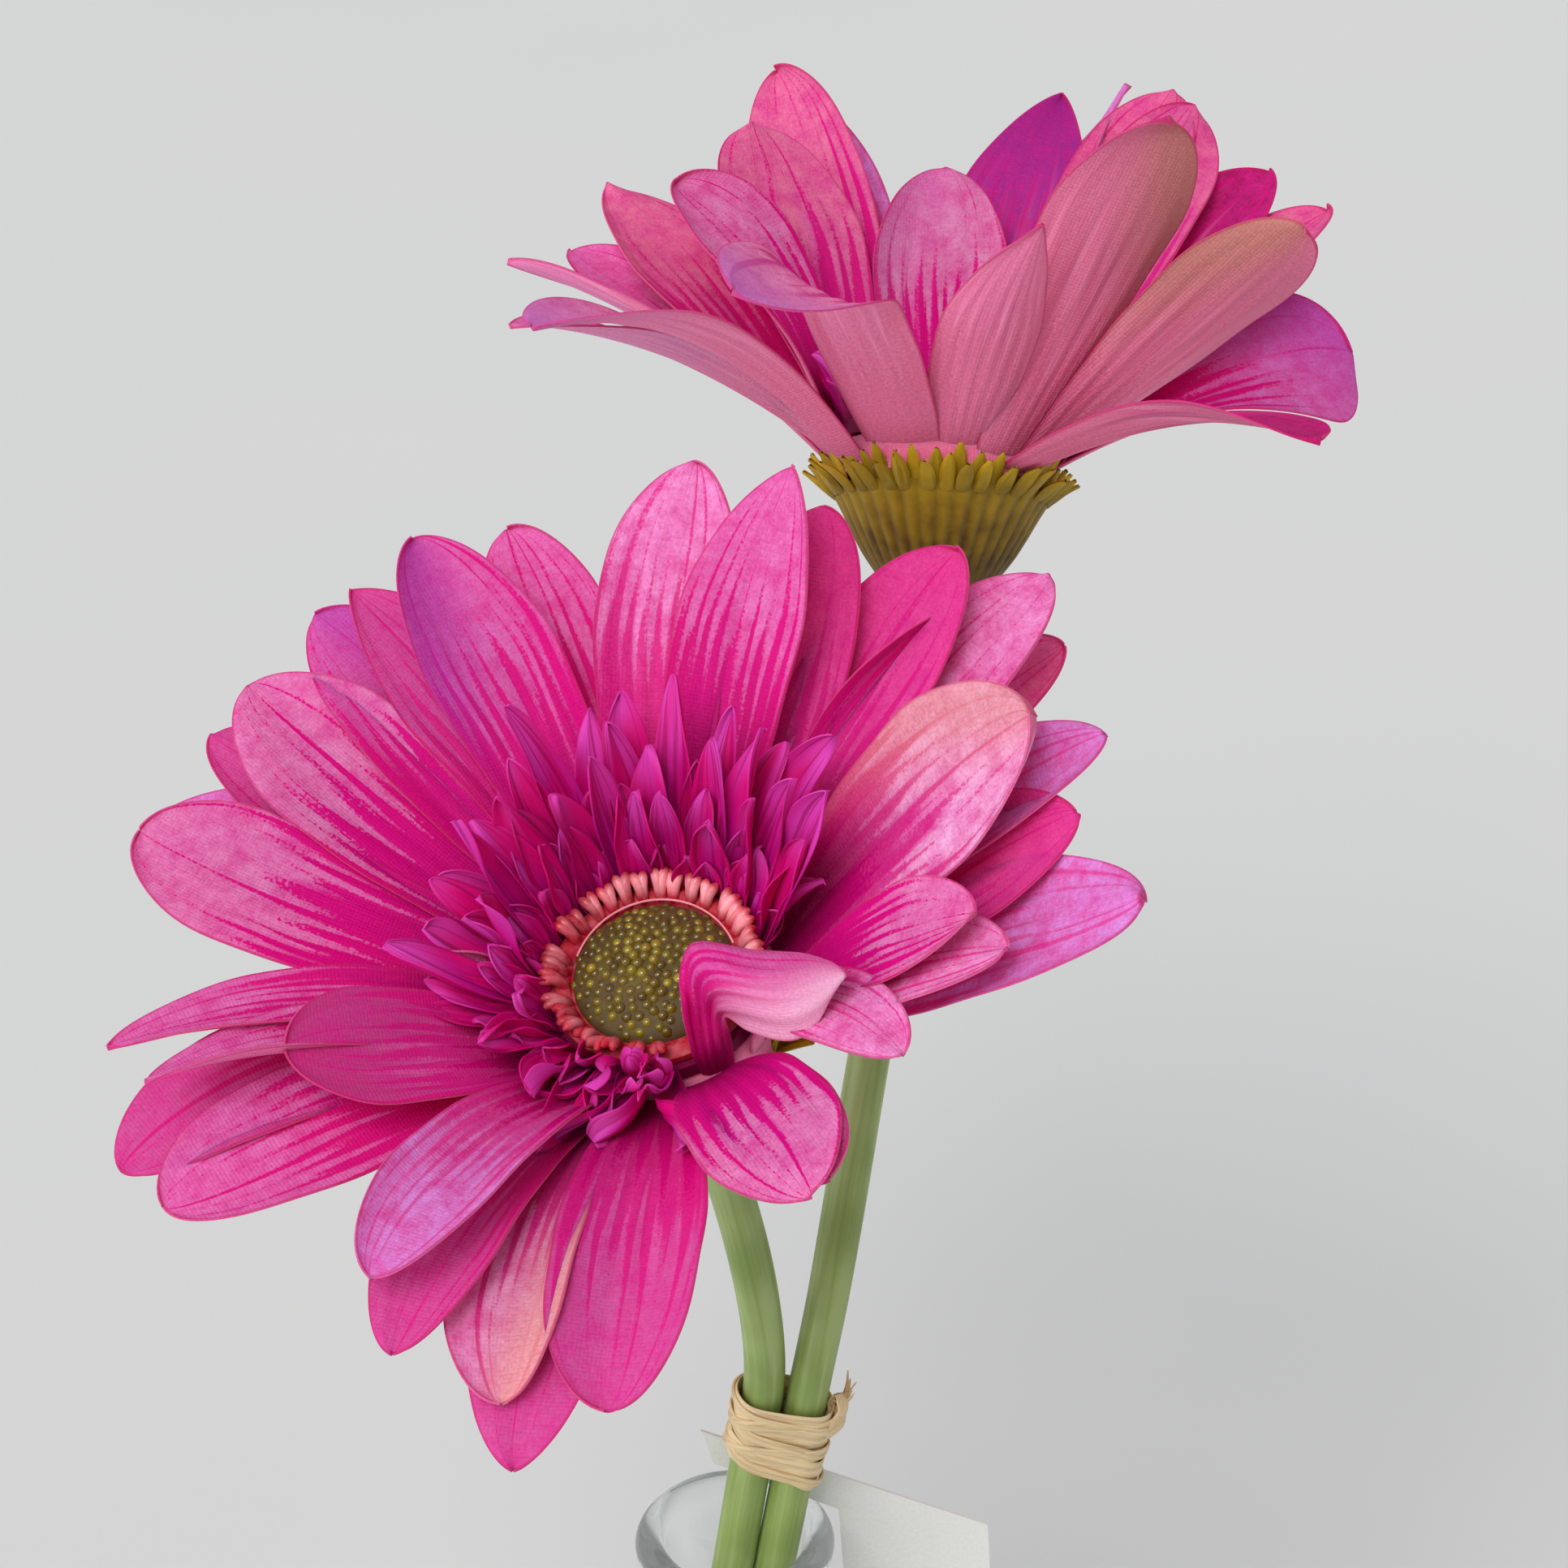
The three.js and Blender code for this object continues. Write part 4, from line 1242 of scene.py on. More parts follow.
    def ring_patch(self) -> Patch:
        """Makes the crown of forked filaments on a low foot ring, with a fine pale bead along its far side.

        Returns:
            The filaments, the foot ring and the bead.
        """
        draw = np.random.default_rng(self.seed + 2)
        turn = np.radians(np.linspace(20, 160, 60))
        line = np.stack([10.2 * np.cos(turn), 10.2 * np.sin(turn), 1.6 * np.sin(turn)], -1)
        bead = swept(line, line * [1, 1, 0], oval(0.14, 0.14, 6)).tagged(shade=0.9, seed=0.5)
        patches = [lathe(self.foot, 96).tagged(shade=0.05, seed=0.5), bead]
        for k in range(self.filaments):
            turn = 2 * math.pi * (k + 0.3 * draw.uniform(-1, 1)) / self.filaments
            if self.bare and self.bare[0] < math.degrees(turn) - 360 < self.bare[0] + 30:
                continue
            reach, height = draw.uniform(2.3, 3.1), draw.uniform(2.4, 3.2)
            patches.extend(self.prong(turn, reach, height, way, draw) for way in (-1, 1))
        return Patch.together(patches)

    def disc_patch(self) -> Patch:
        """Makes the low dome and its nubs, set out as a sunflower's seeds: radius as the root of the number.

        Returns:
            The dome and the nubs.
        """
        draw = np.random.default_rng(self.seed + 3)
        share = np.linspace(0, 1, 16) * np.pi / 2
        dome = np.stack([self.disc_radius * np.sin(share), 0.2 + self.disc_dome * np.cos(share)], -1)
        profile = np.concatenate([[[0, -0.3], [self.disc_radius, -0.3]], dome[::-1][:-1], [[0, dome[0, 1]]]])
        patches = [lathe(profile, 72).tagged(shade=0.0, seed=0.5)]
        turn = np.linspace(0, np.pi, 7)
        ball = lathe(np.stack([np.sin(turn), -np.cos(turn)], -1), 8)
        for k in range(self.nubs):
            away = math.sqrt((k + 0.5) / self.nubs)
            turn = k * GOLDEN_ANGLE + draw.uniform(-0.04, 0.04)
            level = -0.1 + self.disc_dome * math.sqrt(max(1 - (away * 0.985) ** 2, 0))
            size = draw.uniform(0.64, 0.88) * (1.05 - 0.2 * away)
            reach = away * self.nub_reach
            centre = np.array([reach * math.cos(turn), reach * math.sin(turn), level])
            nub = Patch(ball.points * size * [1, 1, draw.uniform(0.8, 1.25)] + centre, ball.faces, ball.uv)
            patches.append(nub.tagged(shade=0.16 + 0.65 * draw.uniform(0, 1) ** 3, seed=draw.uniform()))
        return Patch.together(patches)

    def calyx_patch(self) -> Patch:
        """Makes the ribbed cup and its two rows of pointed sepals.

        The cup's radius is the profile's plus a rib height times a sharpened cosine of the turn. A sepal is a
        small blade that leaves the rim and leans out.

        Returns:
            The cup and the sepals.
        """
        draw = np.random.default_rng(self.seed + 4)
        profile = curve_through(self.cup, 40)
        turn = np.linspace(0, 2 * np.pi, self.ribs * self.rib_steps, endpoint=False)
        rib = (0.5 + 0.5 * np.cos(self.ribs * turn))[None] ** 0.7 - 0.5
        grow = smooth(profile[:, 1], -22, -17)[:, None]
        radius = profile[:, :1] + self.rib_height * grow * rib
        height = profile[:, 1:] + 0 * radius
        points = np.stack([radius * np.cos(turn), radius * np.sin(turn), height], -1)
        poles = np.array([[0, 0, self.cup[0][1]], [0, 0, self.cup[-1][1]]])
        # The cup is darker towards its foot, and painted shade darkens the grooves between the ribs.
        tall = smooth(profile[:, 1], -24, -9)[:, None]
        shade = np.clip(0.1 + 0.42 * tall * tall + 0.2 * rib * grow, 0, 1)
        cup = capped_tube(points, poles, np.zeros(radius.shape + (2,)))
        patches = [cup.tagged(shade=np.concatenate([shade.ravel(), [0.1, 0.3]]), seed=0.5)]
        for row, (lean, lift, start) in enumerate(self.sepal_rows):
            for k in range(self.ribs):
                sepal = Blade(
                    azimuth=360 * (k + 0.5 * row) / self.ribs + draw.uniform(-2, 2),
                    rise=lean + draw.uniform(-9, 9),
                    bend=-16 + draw.uniform(-12, 8),
                    length=self.sepal_length * draw.uniform(0.85, 1.15),
                    width=self.sepal_width,
                    sway=draw.uniform(-8, 8),
                    roll=draw.uniform(-12, 12),
                    cup=40,
                    point=0.8,
                    layer=lift,
                    root=start,
                    wave=0.3,
                    base=0.85,
                    peak=0.4,
                )
                sheet = sepal.surface(self.sepal_sheet, draw)
                patches.append(sheet.tagged(shade=0.45 + 0.55 * sheet.values["along"]))
        return Patch.together(patches)

    def build(self, materials: Materials) -> None:
        """Makes the head's pieces in place of the frame's.

        Args:
            materials: Materials by slot name.
        """
        parts = (
            ("calyx", "calyx", self.calyx_patch),
            ("petals", "petal", self.petal_patch),
            ("florets", "floret", self.floret_patch),
            ("ring", "ring", self.ring_patch),
            ("disc", "disc", self.disc_patch),
        )
        for part, slot, make in parts:
            node = f"{part}_{self.name}"
            settle(self.placed(make()), node, "gerbera_" + node, slot, materials)


# Bottle, stems, tie and tag


@dataclass
class BottleVase:
    """Clear bottle with a straight body, a round shoulder, a short neck and a rolled lip.

    The hollow under it is a profile of radii and heights. The rows are heights of points on the body's side.
    """

    height: float = 160
    body_radius: float = 33
    foot_radius: float = 26
    corner: float = 7
    body_top: float = 100
    shoulder_top: float = 131
    neck_radius: float = 12
    mouth_radius: float = 9.6
    lip_radius: float = 14
    lip_height: float = 5.6
    wall: float = 2.7
    floor: float = 5
    hollow: Profile = ((0, 1.2), (8, 1.0), (18, 0.5), (22, 0.0))
    outer_rows: tuple[float, ...] = (30, 60, 85)
    inner_rows: tuple[float, ...] = (60, 20)

    def shoulder(self, inset: float) -> Array:
        """Runs the shoulder's profile, a half cosine from the body to the neck.

        Args:
            inset: How far it is drawn in.

        Returns:
            Radii and heights, points by 2.
        """
        share = np.linspace(0, 1, 28)
        blend = (1 + np.cos(np.pi * share)) / 2
        radius = self.neck_radius - inset + (self.body_radius - self.neck_radius) * blend
        return np.stack([radius, self.body_top + (self.shoulder_top - self.body_top) * share], -1)

    def arc(self, centre: tuple[float, float], radius: float, start: float, end: float, count: int) -> Array:
        """Runs an arc about a centre.

        Args:
            centre: Its radius and height.
            radius: Radius of the arc.
            start: First direction, in degrees from outward.
            end: Last direction.
            count: Number of points.

        Returns:
            Radii and heights, points by 2.
        """
        turn = np.radians(np.linspace(start, end, count))
        return np.stack([centre[0] + radius * np.cos(turn), centre[1] + radius * np.sin(turn)], -1)

    def profile(self) -> Array:
        """Runs the profile from the underside's middle up the outside, over the lip and down the inside.

        Returns:
            Radii and heights, points by 2.
        """
        bead = (self.lip_radius - self.mouth_radius) / 2
        bore, inside = self.neck_radius - self.wall, self.body_radius - self.wall
        neck_foot, lip_foot = self.shoulder_top + 8, self.height - self.lip_height - 2
        parts = [
            self.hollow,
            self.arc((self.foot_radius, self.corner), self.corner, -90, 0, 10),
            [(self.body_radius, height) for height in self.outer_rows],
            self.shoulder(0),
            [(self.neck_radius, neck_foot), (self.neck_radius, lip_foot)],
            self.arc((self.lip_radius - bead, self.height - bead), bead, -50, 180, 22),
            [(self.mouth_radius - 0.2, self.height - 5), (bore, self.height - 10), (bore, neck_foot)],
            self.shoulder(self.wall)[::-1],
            [(inside, height) for height in self.inner_rows],
            self.arc((self.foot_radius - 1, self.floor + 6), 5.3, 0, -90, 8),
            [(12, self.floor + 0.9), (0, self.floor + 1.2)],
        ]
        return np.concatenate(parts)

    def build(self, materials: Materials) -> None:
        """Makes the glass."""
        settle(lathe(self.profile(), 128), "bottle", "glass_bottle", "glass", materials)


@dataclass
class Stem:
    """A green stem between the bottle's floor and the foot of a cup, which it enters straight.

    Each groove down it has a depth as a share of the radius, a direction and a half width, in radians.
    """

    name: str
    knots: Line
    head: GerberaHead
    radius: float = 2.9
    straight: float = 6.8
    inside: float = 0.5
    rings: int = 150
    steps: int = 28
    grooves: Line = ((0.035, 3.6, 0.35), (0.02, 1.1, 0.3))

    def path(self) -> Array:
        """Runs the middle line to just inside the cup's foot, square to it.

        Returns:
            Points on the line.
        """
        axis = unit(np.array(self.head.axis))
        end = np.array(self.head.origin) + axis * (self.head.cup[0][1] + self.inside)
        return curve_through(np.array([*self.knots, end - self.straight * axis, end]), self.rings)

    def build(self, materials: Materials) -> None:
        """Makes the stem, a tube with shallow grooves down it and slow changes of its radius.

        Args:
            materials: Materials by slot name.
        """
        path = self.path()
        turn = np.linspace(0, 2 * np.pi, self.steps, endpoint=False)
        outline = np.ones(self.steps)
        for depth, place, width in self.grooves:
            outline = outline - depth * np.exp(-(((turn - place) / width) ** 2))
        slow = 1 + 0.012 * np.sin(path[:, 2] / 17) + 0.01 * np.sin(path[:, 2] / 6.3)
        radius = self.radius * outline[None] * slow[:, None]
        section = radius[..., None] * oval(1, 1, self.steps)[None]
        tube = swept(path, np.array([1.0, 0.2, 0]), section)
        settle(tube, f"stem_{self.name}", f"green_stem_{self.name}", "stem", materials)


@dataclass
class RaffiaTie:
    """Flat raffia ribbons wound round both stems, with a knot and frayed ends at the right.

    Each turn has a rise, a tilt to the side and to the back, an added radius and a width.
    """

    centre: Point = (6.25, -0.3, 178.8)
    half_gap: float = 3.05
    radius: float = 3.35
    lean: float = 9.0
    seed: int = 5
    turns: tuple[tuple[float, ...], ...] = (
        (-5.4, -2.0, -0.4, 0.0, 3.0), (-3.4, -1.6, 0.3, 0.35, 3.2), (-1.2, -1.2, 0.5, 0.1, 3.6),
        (1.0, -1.0, -0.5, 0.3, 3.0), (3.0, -0.4, 0.3, 0.05, 3.2), (4.6, -0.5, 0.4, 0.4, 2.4),
        (-4.4, -3.0, 0.9, 0.6, 1.5), (0.4, -2.4, 0.7, 0.65, 1.3), (2.2, 0.8, -0.8, 0.7, 1.6),
        (4.0, -1.6, 0.6, 0.75, 1.2), (-2.4, 0.6, -1.1, 0.72, 1.1),
    )
    knot_loops: int = 5
    frayed_ends: int = 9

    def set_down(self, points: Array) -> Array:
        """Leans points with the stems and puts them at the tie's centre.

        Args:
            points: Points about the tie's centre.

        Returns:
            Points in the object's frame.
        """
        x, z = math.cos(math.radians(self.lean)), math.sin(math.radians(self.lean))
        spin = np.array([[x, 0, -z], [0, 1, 0], [z, 0, x]])
        return points @ spin + np.array(self.centre)

    def turn(self, rise: float, side: float, back: float, extra: float, width: float, twist: float) -> Patch:
        """Makes one closed turn of ribbon round the stadium that the two stems span.

        A point at turn a is at gap tanh(4 cos a) + r cos a to the side, r sin a behind, and rise + side
        cos a + back sin a up, with a slow wave in its width and radius.

        Args:
            rise: Height above the tie's centre.
            side: Tilt to the side, as height at the right end.
            back: Tilt to the back, as height behind.
            extra: Added radius.
            width: Width of the ribbon.
            twist: Phase of its waves.

        Returns:
            The ribbon, in the object's frame.
        """
        a = np.linspace(0, 2 * np.pi, 72, endpoint=False)
        r = self.radius + extra + 0.12 * np.sin(3 * a + twist)
        x = self.half_gap * np.tanh(4 * np.cos(a)) + r * np.cos(a)
        z = rise + side * np.cos(a) + back * np.sin(a) + 0.2 * np.sin(2 * a + twist)
        path = np.stack([x, r * np.sin(a), z], -1)
        high = width / 2 * (1 + 0.22 * np.sin(2 * a + 2 * twist))
        around = np.linspace(0, 2 * np.pi, 14, endpoint=False)
        dent = 0.1 * np.cos(3 * np.sin(around)[None] + twist + a[:, None])
        section = np.stack([0.24 * np.cos(around)[None] + dent, high[:, None] * np.sin(around)[None]], -1)
        patch = swept(path, np.stack([np.cos(a), np.sin(a), 0 * a], -1), section, closed=True)
        patch.points = self.set_down(patch.points)
        return patch

    def strand(self, knots: Line, width: float, thick: float) -> Patch:
        """Makes a loose ribbon that narrows to its ends.

        Args:
            knots: Points about the tie's centre that it runs through.
            width: Its width.
            thick: Half its thickness.

        Returns:
            The ribbon, in the object's frame.
        """
        count = 26
        path = self.set_down(curve_through(knots, count))
        share = np.linspace(0, 1, count)
        narrow = np.maximum(np.sin(np.pi * np.clip(share * 0.9 + 0.08, 0, 1)) ** 0.5, 0.15)
        section = oval(thick, width / 2, 8)[None] * narrow[:, None, None]
        return swept(path, np.array([0.6, -0.8, 0.1]), section)

    def build(self, materials: Materials) -> None:
        """Makes the turns, the knot and the frayed ends as one piece.

        Args:
            materials: Materials by slot name.
        """
        draw = np.random.default_rng(self.seed)
        patches = []
        for row in self.turns:
            patches.append(self.turn(*row, draw.uniform(0, 6)).tagged(shade=draw.uniform(0, 0.25)))
        for _ in range(self.knot_loops):
            y, z = draw.uniform(-1.6, 0.8), draw.uniform(2.2, 5.6)
            there = ((6.4, y - 1.6, z - 2), (7.9, y - 0.6, z), (7.4, y + 1.0, z + 1.6))
            knots = (*there, (6.6, y + 1.4, z - 0.4), (7.6, y, z - 1.6))
            strand = self.strand(knots, draw.uniform(1.4, 2.2), 0.28)
            patches.append(strand.tagged(shade=draw.uniform(0.1, 0.4)))
        for _ in range(self.frayed_ends):
            y, z = draw.uniform(-1.4, 1.0), draw.uniform(3.0, 5.2)
            end = (draw.uniform(7.6, 9.6), y + draw.uniform(-1.5, 2), z + draw.uniform(2.5, 5.8))
            knots = ((7.0, y, z - 1.0), (7.9, y, z + 0.6), (8.2, y + 0.3, z + 2.0), end)
            strand = self.strand(knots, draw.uniform(0.5, 1.0), 0.12)
            patches.append(strand.tagged(shade=draw.uniform(0.3, 0.9)))
        settle(Patch.together(patches), "raffia_tie", "raffia_binding", "raffia", materials)


@dataclass
class CardTag:
    """Blank white card with a narrow neck behind the tie, and a body cut at a slant.

    Its upper and lower edges are points along and down from its corner, in matching pairs.
    """

    corner: Point = (-4.7, 5.55, 173.2)
    along: Point = (0.922, 0.0, -0.387)
    down: Point = (-0.387, 0.07, -0.92)
    upper: Profile = ((0, 0), (4, 0), (23.5, 0), (31, 0), (44, 0))
    lower: Profile = ((0.6, 0.7), (4, 5), (23.5, 6), (33.5, 26), (57, 26))
    thickness: float = 0.45
    bow: float = 0.5

    def build(self, materials: Materials) -> None:
        """Makes the card: straight lines from its upper to its lower edge, with a slight bow.

        Args:
            materials: Materials by slot name.
        """
        pairs = np.arange(len(self.upper))
        place = np.linspace(0, pairs[-1], 65)
        upper, lower = (
            np.stack([np.interp(place, pairs, values) for values in zip(*edge)], -1)
            for edge in (self.upper, self.lower)
        )
        w = np.linspace(0, 1, 21)[None, :, None]
        flat = upper[:, None] * (1 - w) + lower[:, None] * w
        right, below = flat[..., :1], flat[..., 1:]
        along, down = unit(np.array(self.along)), unit(np.array(self.down))
        length, depth = self.lower[-1]
        bow = self.bow * np.sin(right / length * np.pi) * below / depth
        points = np.array(self.corner) + right * along + below * down + bow * np.cross(along, down)
        card = closed_sheet(points, self.thickness, flat)
        card.values.clear()
        settle(card, "paper_tag", "blank_card_tag", "paper", materials)


# Studio


@dataclass
class Studio:
    """Pale board, one wide soft light from the upper left behind the camera, and the photograph's camera."""

    camera_mm: Point = (6.9, -366.3, 484.5)
    pitch_down: float = 29.2
    focal_px: float = 4200
    frame_px: float = 1932
    sensor_mm: float = 36
    clip_m: tuple[float, float] = (0.01, 50)
    surround: float = 0.57
    surround_colour: str = "#E9EAEB"
    floor_mm: float = 6000
    floor_points: int = 13

    def lamp(self, name: str, source: Point, spread: float, power: float, colour: str) -> None:
        """Adds a far light as wide as a window.

        Args:
            name: Name of the light.
            source: Direction that it comes from.
            spread: Its width in degrees.
            power: Its power in watts a square metre.
            colour: Its sRGB colour.
        """
        light = bpy.data.lights.new(name, "SUN")
        light.energy, light.angle, light.color = power, math.radians(spread), linear(colour)[:3]
        made = bpy.data.objects.new(name, light)
        made.rotation_euler = Vector(source).to_track_quat("Z", "Y").to_euler()
        bpy.context.scene.collection.objects.link(made)

    def build(self) -> None:
        """Makes the camera, the lights, the even surround and the floor."""
        scene = bpy.context.scene
        camera = bpy.data.cameras.new("camera")
        camera.sensor_width = self.sensor_mm
        camera.lens = self.focal_px / self.frame_px * self.sensor_mm
        camera.clip_start, camera.clip_end = self.clip_m
        eye = bpy.data.objects.new("camera", camera)
        eye.location = Vector(self.camera_mm) * MM
        eye.rotation_euler = Euler((math.radians(90 - self.pitch_down), 0, 0))
        scene.collection.objects.link(eye)
        scene.camera = eye
        self.lamp("key", (-105, -235, 290), 32, 1.85, "#FFFCF8")
        self.lamp("window", (-400, -190, 90), 60, 1.35, "#F4F8FF")
        world = bpy.data.worlds.new("surround")
        world.use_nodes = True
        background = world.node_tree.nodes["Background"].inputs
        background["Color"].default_value = linear(self.surround_colour)
        background["Strength"].default_value = self.surround
        scene.world = world
        scene.view_settings.view_transform = "Standard"
        line = np.linspace(-self.floor_mm, self.floor_mm, self.floor_points)
        x, y = np.meshgrid(line, line)
        points = np.stack([x, y, np.zeros_like(x)], -1).reshape(-1, 3)
        faces = grid_faces(self.floor_points, self.floor_points)
        floor = Patch(points, [faces], points[:, :2]).piece("floor", StudioPaper().material())


# What was read off the photograph

I, U, M, L = Layer.INNER, Layer.UPPER, Layer.MIDDLE, Layer.LOWER

# Columns: azimuth, rise, bend, length, width, sway, roll, cup, point, layer, tint.
FRONT_PETALS = [
    Blade(89, 38, -12, 56, 18, -20, 0, 20, 0.1, U, Tint.PALE),
    Blade(74, 41, -10, 56, 17, -15, 0, 20, 0.6, U, Tint.PINK),
    Blade(62, 35, -12, 54, 16, 15, 0, 20, 0.1, L, Tint.CERISE),
    Blade(52, 30, -18, 54, 18, -2, 0, 20, 0.2, U, Tint.CERISE),
    Blade(44, 30, -24, 59, 17, -4, 0, 15, 0.2, L, Tint.PALE),
    Blade(46, 24, -14, 49, 15, 5, 60, 30, 0.5, U, Tint.DEEP_AND_SHADE),
    Blade(48, 15, -16, 52, 15, 4, 60, 30, 0.5, M, Tint.PINK),
    Blade(46, 22, -25, 55, 13, -18, 55, 25, 0.2, L, Tint.ROSE),
    Blade(15, 48, -14, 49, 24, -2, 0, 20, 0, U, Tint.SAND_LEFT),
    Blade(15, 45, -24, 54, 16, -8, 0, 20, 0.3, L, Tint.MAUVE),
    Blade(0, 43, -18, 48, 18, 12, 0, 20, 0.3, L, Tint.CERISE),
    Blade(-11, 39, -15, 55, 18, 3, 0, 15, 0, L, Tint.MAUVE),
    Blade(-15, 54, -25, 39, 14, 0, 0, 20, 0.1, I, Tint.STRIPED),
    Blade(-21, 54, -38, 42, 14, 8, 0, 15, 0.1, U, Tint.PALE),
    Blade(-31, 74, -80, 38.5, 11, -22, 0, 15, 0.1, M, Tint.PALE),
    Blade(-64, 55, -55, 41, 17, 2, 0, 10, 0.1, I, Tint.STRIPED),
    Blade(-60.5, 57, -57, 40, 14, 2, 0, 10, 0.1, U, Tint.PINK),
    Blade(-89, 37, -55, 51, 18, -10, 0, 20, 0.1, U, Tint.PLAIN),
    Blade(-112, 37, -50, 52, 15, 25, 0, 25, 0.1, M, Tint.SALMON),
    Blade(-103, 33, -48, 57, 17, 5, 0, 10, 0.4, L, Tint.PLAIN),
    Blade(-120, 43, -48, 53, 14, 15, 0, 20, 0.2, L, Tint.PLAIN),
    Blade(-119, 50, -50, 50, 14, 2, 0, 35, 0.1, U, Tint.MAUVE),
    Blade(-148, 32, -34, 53, 19, 0, 0, 15, 0, U, Tint.PINK),
    Blade(-166, 34, -38, 57, 17, 30, 0, 15, 0.1, L, Tint.PLAIN),
    Blade(-149, 46, -25, 37, 18, -20, 0, 20, 0, I, Tint.DUSTY),
    Blade(-175, 34, -22, 55, 12, 25, 25, 30, 0.6, M, Tint.PINK),
    Blade(-164, 42, -24, 54, 12, 20, 35, 30, 0.4, L, Tint.PINK),
    Blade(170, 27, -18, 55, 19, -20, 0, 15, 0, U, Tint.STRIPED),
    Blade(156, 26, -26, 57, 18, 12, 0, 15, 0.1, L, Tint.MAUVE),
    Blade(146, 28, -15, 54, 20, -12, 0, 15, 0.1, U, Tint.STRIPED),
    Blade(148, 29, -26, 56, 16, -2, 0, 15, 0.3, L, Tint.PLAIN),
    Blade(128, 29, -15, 55, 18, 8, 0, 15, 0.3, U, Tint.VIOLET_RIGHT),
    Blade(119, 36, -22, 56, 15, 20, 0, 10, 0.6, L, Tint.PLAIN),
    Blade(114, 35, -12, 55, 17, 10, 0, 20, 0.2, U, Tint.VIOLET_LEFT),
    Blade(103, 31, -16, 55, 16, 10, 0, 15, 0.1, L, Tint.PINK),
    Blade(184, 30, 34, 15.5, 6.5, -10, -50, 60, 0.5, -0.6, Tint.PALE, root=13.5, base=0.6),
]
BACK_PETALS = [
    Blade(-83.5, 37, -8, 42, 14, 12, 0, 25, 0.9, U, Tint.ROSE, peak=0.46, base=0.5),
    Blade(-62, 47, -8, 55, 18, -6, -8, 20, 0.1, M, Tint.TAN_LEFT),
    Blade(-38, 36, -8, 51, 18, -14, -22, 20, 0.1, M, Tint.TAN_RIGHT),
    Blade(-115, 36, -8, 50, 21, -10, -36, 20, 0.2, U, Tint.LILAC, TipFold(0.5, -40), base=0.5),
    Blade(-150, 38, -60, 55, 20, 14, -8, 20, 0.2, L, Tint.LILAC),
    Blade(-50, 15.5, -36, 55, 16, -3, 8, 20, 0.2, L, Tint.DEEP_AND_SHADE),
    Blade(14, 39, -34, 52, 26, 12, 60, 15, 0, M, Tint.ORCHID, peak=0.8),
    Blade(34, 44, -30, 60, 16, 0, 45, 20, 0, L, Tint.ROSE),
    Blade(17, 54, -20, 60, 17, 4, 35, 20, 0.1, L, Tint.ROSE),
    Blade(27, 59, -18, 60, 17, 2, 40, 20, 0.3, U, Tint.DEEP_AND_SHADE),
    Blade(36, 66, -12, 65, 19, 12, 40, 20, 0.2, U, Tint.ROSE),
    Blade(45, 69, -14, 68, 18, -2, 35, 20, 0.1, M, Tint.ROSE),
    Blade(61, 68, -14, 70, 14, -14, -35, 30, 0.5, U, Tint.MAUVE),
    Blade(74, 68, -10, 67, 19, -20, 25, 20, 0.7, U, Tint.GRAPE),
    Blade(92, 70, 16, 46.5, 19, 0, 0, 20, 0, U, Tint.VIOLET),
    Blade(108, 70, -18, 69, 9, 28, -40, 30, 0.5, L, Tint.MAUVE),
    Blade(127, 68, -10, 69, 17, -6, -55, 20, 0.2, M, Tint.BLUSH),
    Blade(140, 66, -2, 55, 21, 0, -32, 20, 0.1, U, Tint.BLUSH),
    Blade(170, 75, -45, 46, 19, 0, -45, 20, 0.1, U, Tint.STRIPED),
    Blade(152, 51, -12, 60, 21, -2, -40, 20, 0.7, L, Tint.BLUSH),
    Blade(162, 40, -25, 59, 12, 0, 10, 30, 0.8, M, Tint.PINK),
    Blade(157, 45, -20, 55, 15, 0, -40, 30, 0.2, L, Tint.PINK),
    Blade(-158, 32, -42, 51, 14, 5, -10, 20, 0.4, M, Tint.PALE),
    Blade(78, 56, -15, 47, 17, 0, 0, 20, 0.1, M, Tint.DEEP_AND_SHADE),
    Blade(112, 56, -15, 48, 17, 0, 0, 20, 0.1, L, Tint.DEEP_AND_SHADE),
]
FRONT_RINGS = [
    FloretRing(30, 78, 10, 4.4, 2.5, 13.0),
    FloretRing(31, 74, 16, 5.3, 4, 13.2),
    FloretRing(30, 69, 22, 5.9, 6, 13.4),
    FloretRing(29, 63, 28, 6.4, 8, 13.5),
]
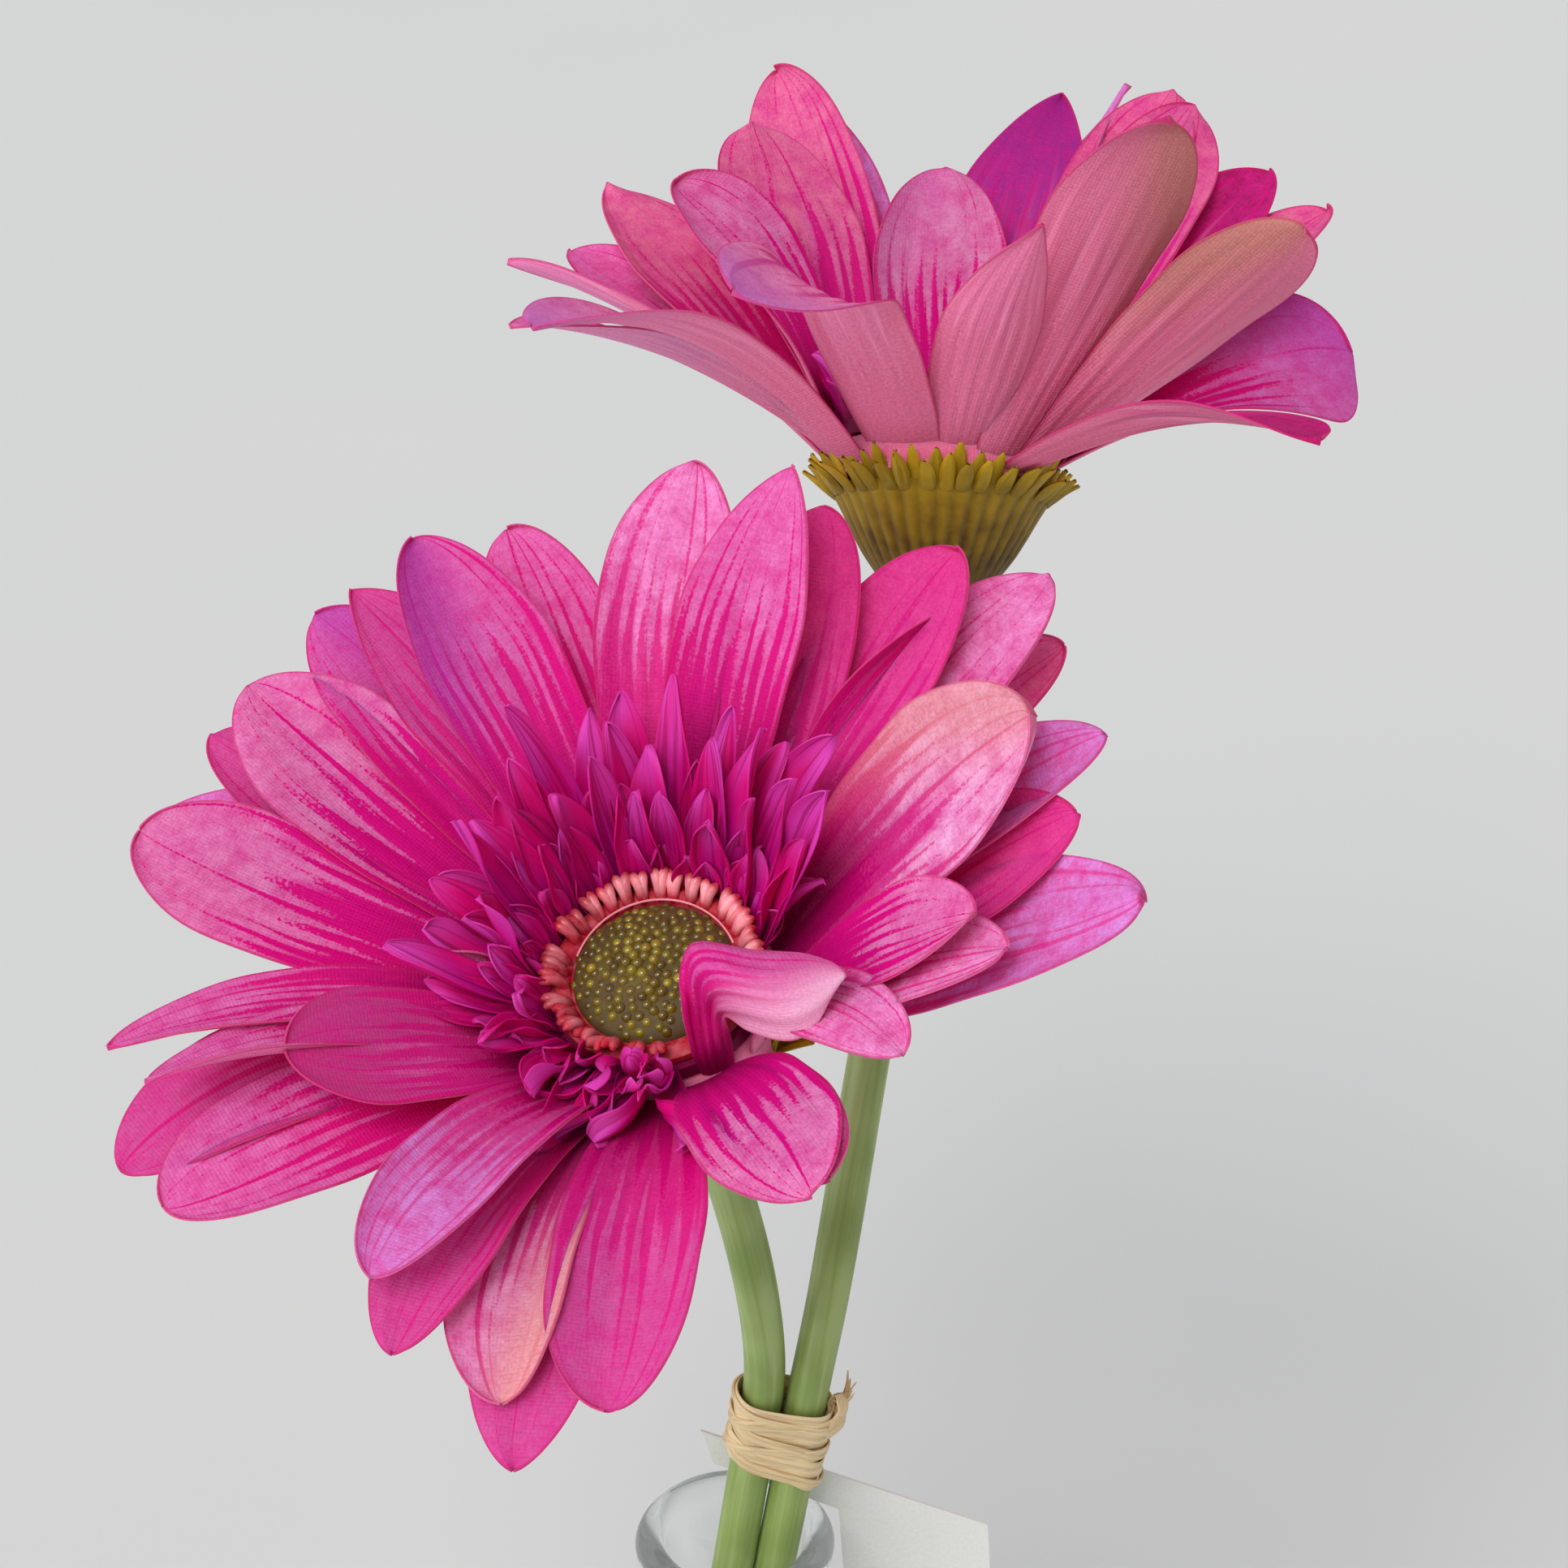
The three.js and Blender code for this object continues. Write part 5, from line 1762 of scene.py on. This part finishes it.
BACK_RINGS = [FloretRing(26, 80, 8.5, 4.4, 2, 13.0), FloretRing(24, 77, 12, 4.8, 3, 13.2)]
FRONT_STEM: Line = (
    (-20, -6, 5.7), (-10.5, -3.2, 85), (0.5, -0.9, 160), (1.9, -0.5, 170), (3.2, -0.4, 179),
    (4.2, -0.2, 187), (4, 0, 195), (2.4, -0.1, 207), (-1.2, -1.8, 224),
)
BACK_STEM: Line = (
    (-16.5, 3, 5.7), (-5, 0.6, 85), (6.1, -0.8, 158), (8, -0.5, 170), (9.3, -0.4, 179),
    (10.6, 0.2, 187), (13, 4.8, 198), (19.5, 23.5, 231), (24.3, 34.6, 254),
)


def main() -> None:
    logging.basicConfig(level=logging.INFO, format="%(message)s")
    Studio().build()
    finishes = {
        "petal": PetalCloth(),
        "floret": FloretCloth(),
        "calyx": MouldedPlastic("moulded_olive_plastic", "#4A3200", "#B09210", 0.5, 3.0, 0.1, 0.3),
        "ring": MouldedPlastic("moulded_coral_plastic", "#B4002A", "#FFA4AE", 0.3, 1.5, 0.04, 0.4),
        "disc": MouldedPlastic("moulded_olive_nubs", "#4C3804", "#9C8A16", 0.12, 2.5, 0.1, 0.8),
        "stem": StemPlastic(),
        "raffia": RaffiaFibre(),
        "paper": TagCard(),
        "glass": BottleGlass(),
    }
    materials = {slot: finish.material() for slot, finish in finishes.items()}
    front = GerberaHead(
        name="front",
        origin=(-8.6, -19.7, 264.3),
        axis=(-0.148, -0.386, 0.909),
        petals=FRONT_PETALS,
        rings=FRONT_RINGS,
        near_length=0.42,
        near_rise=42,
        bare=(-76, 4),
        seed=11,
        folded=FoldedPetal(),
    )
    back = GerberaHead(
        name="back",
        origin=(28.5, 58, 303),
        axis=(0.05, 0.515, 0.856),
        petals=BACK_PETALS,
        rings=BACK_RINGS,
        near_length=0.7,
        near_rise=84,
        bare=None,
        seed=23,
    )
    stems = [Stem("front", FRONT_STEM, front), Stem("back", BACK_STEM, back)]
    for part in (BottleVase(), *stems, RaffiaTie(), CardTag(), front, back):
        part.build(materials)


if __name__ == "__main__":
    main()
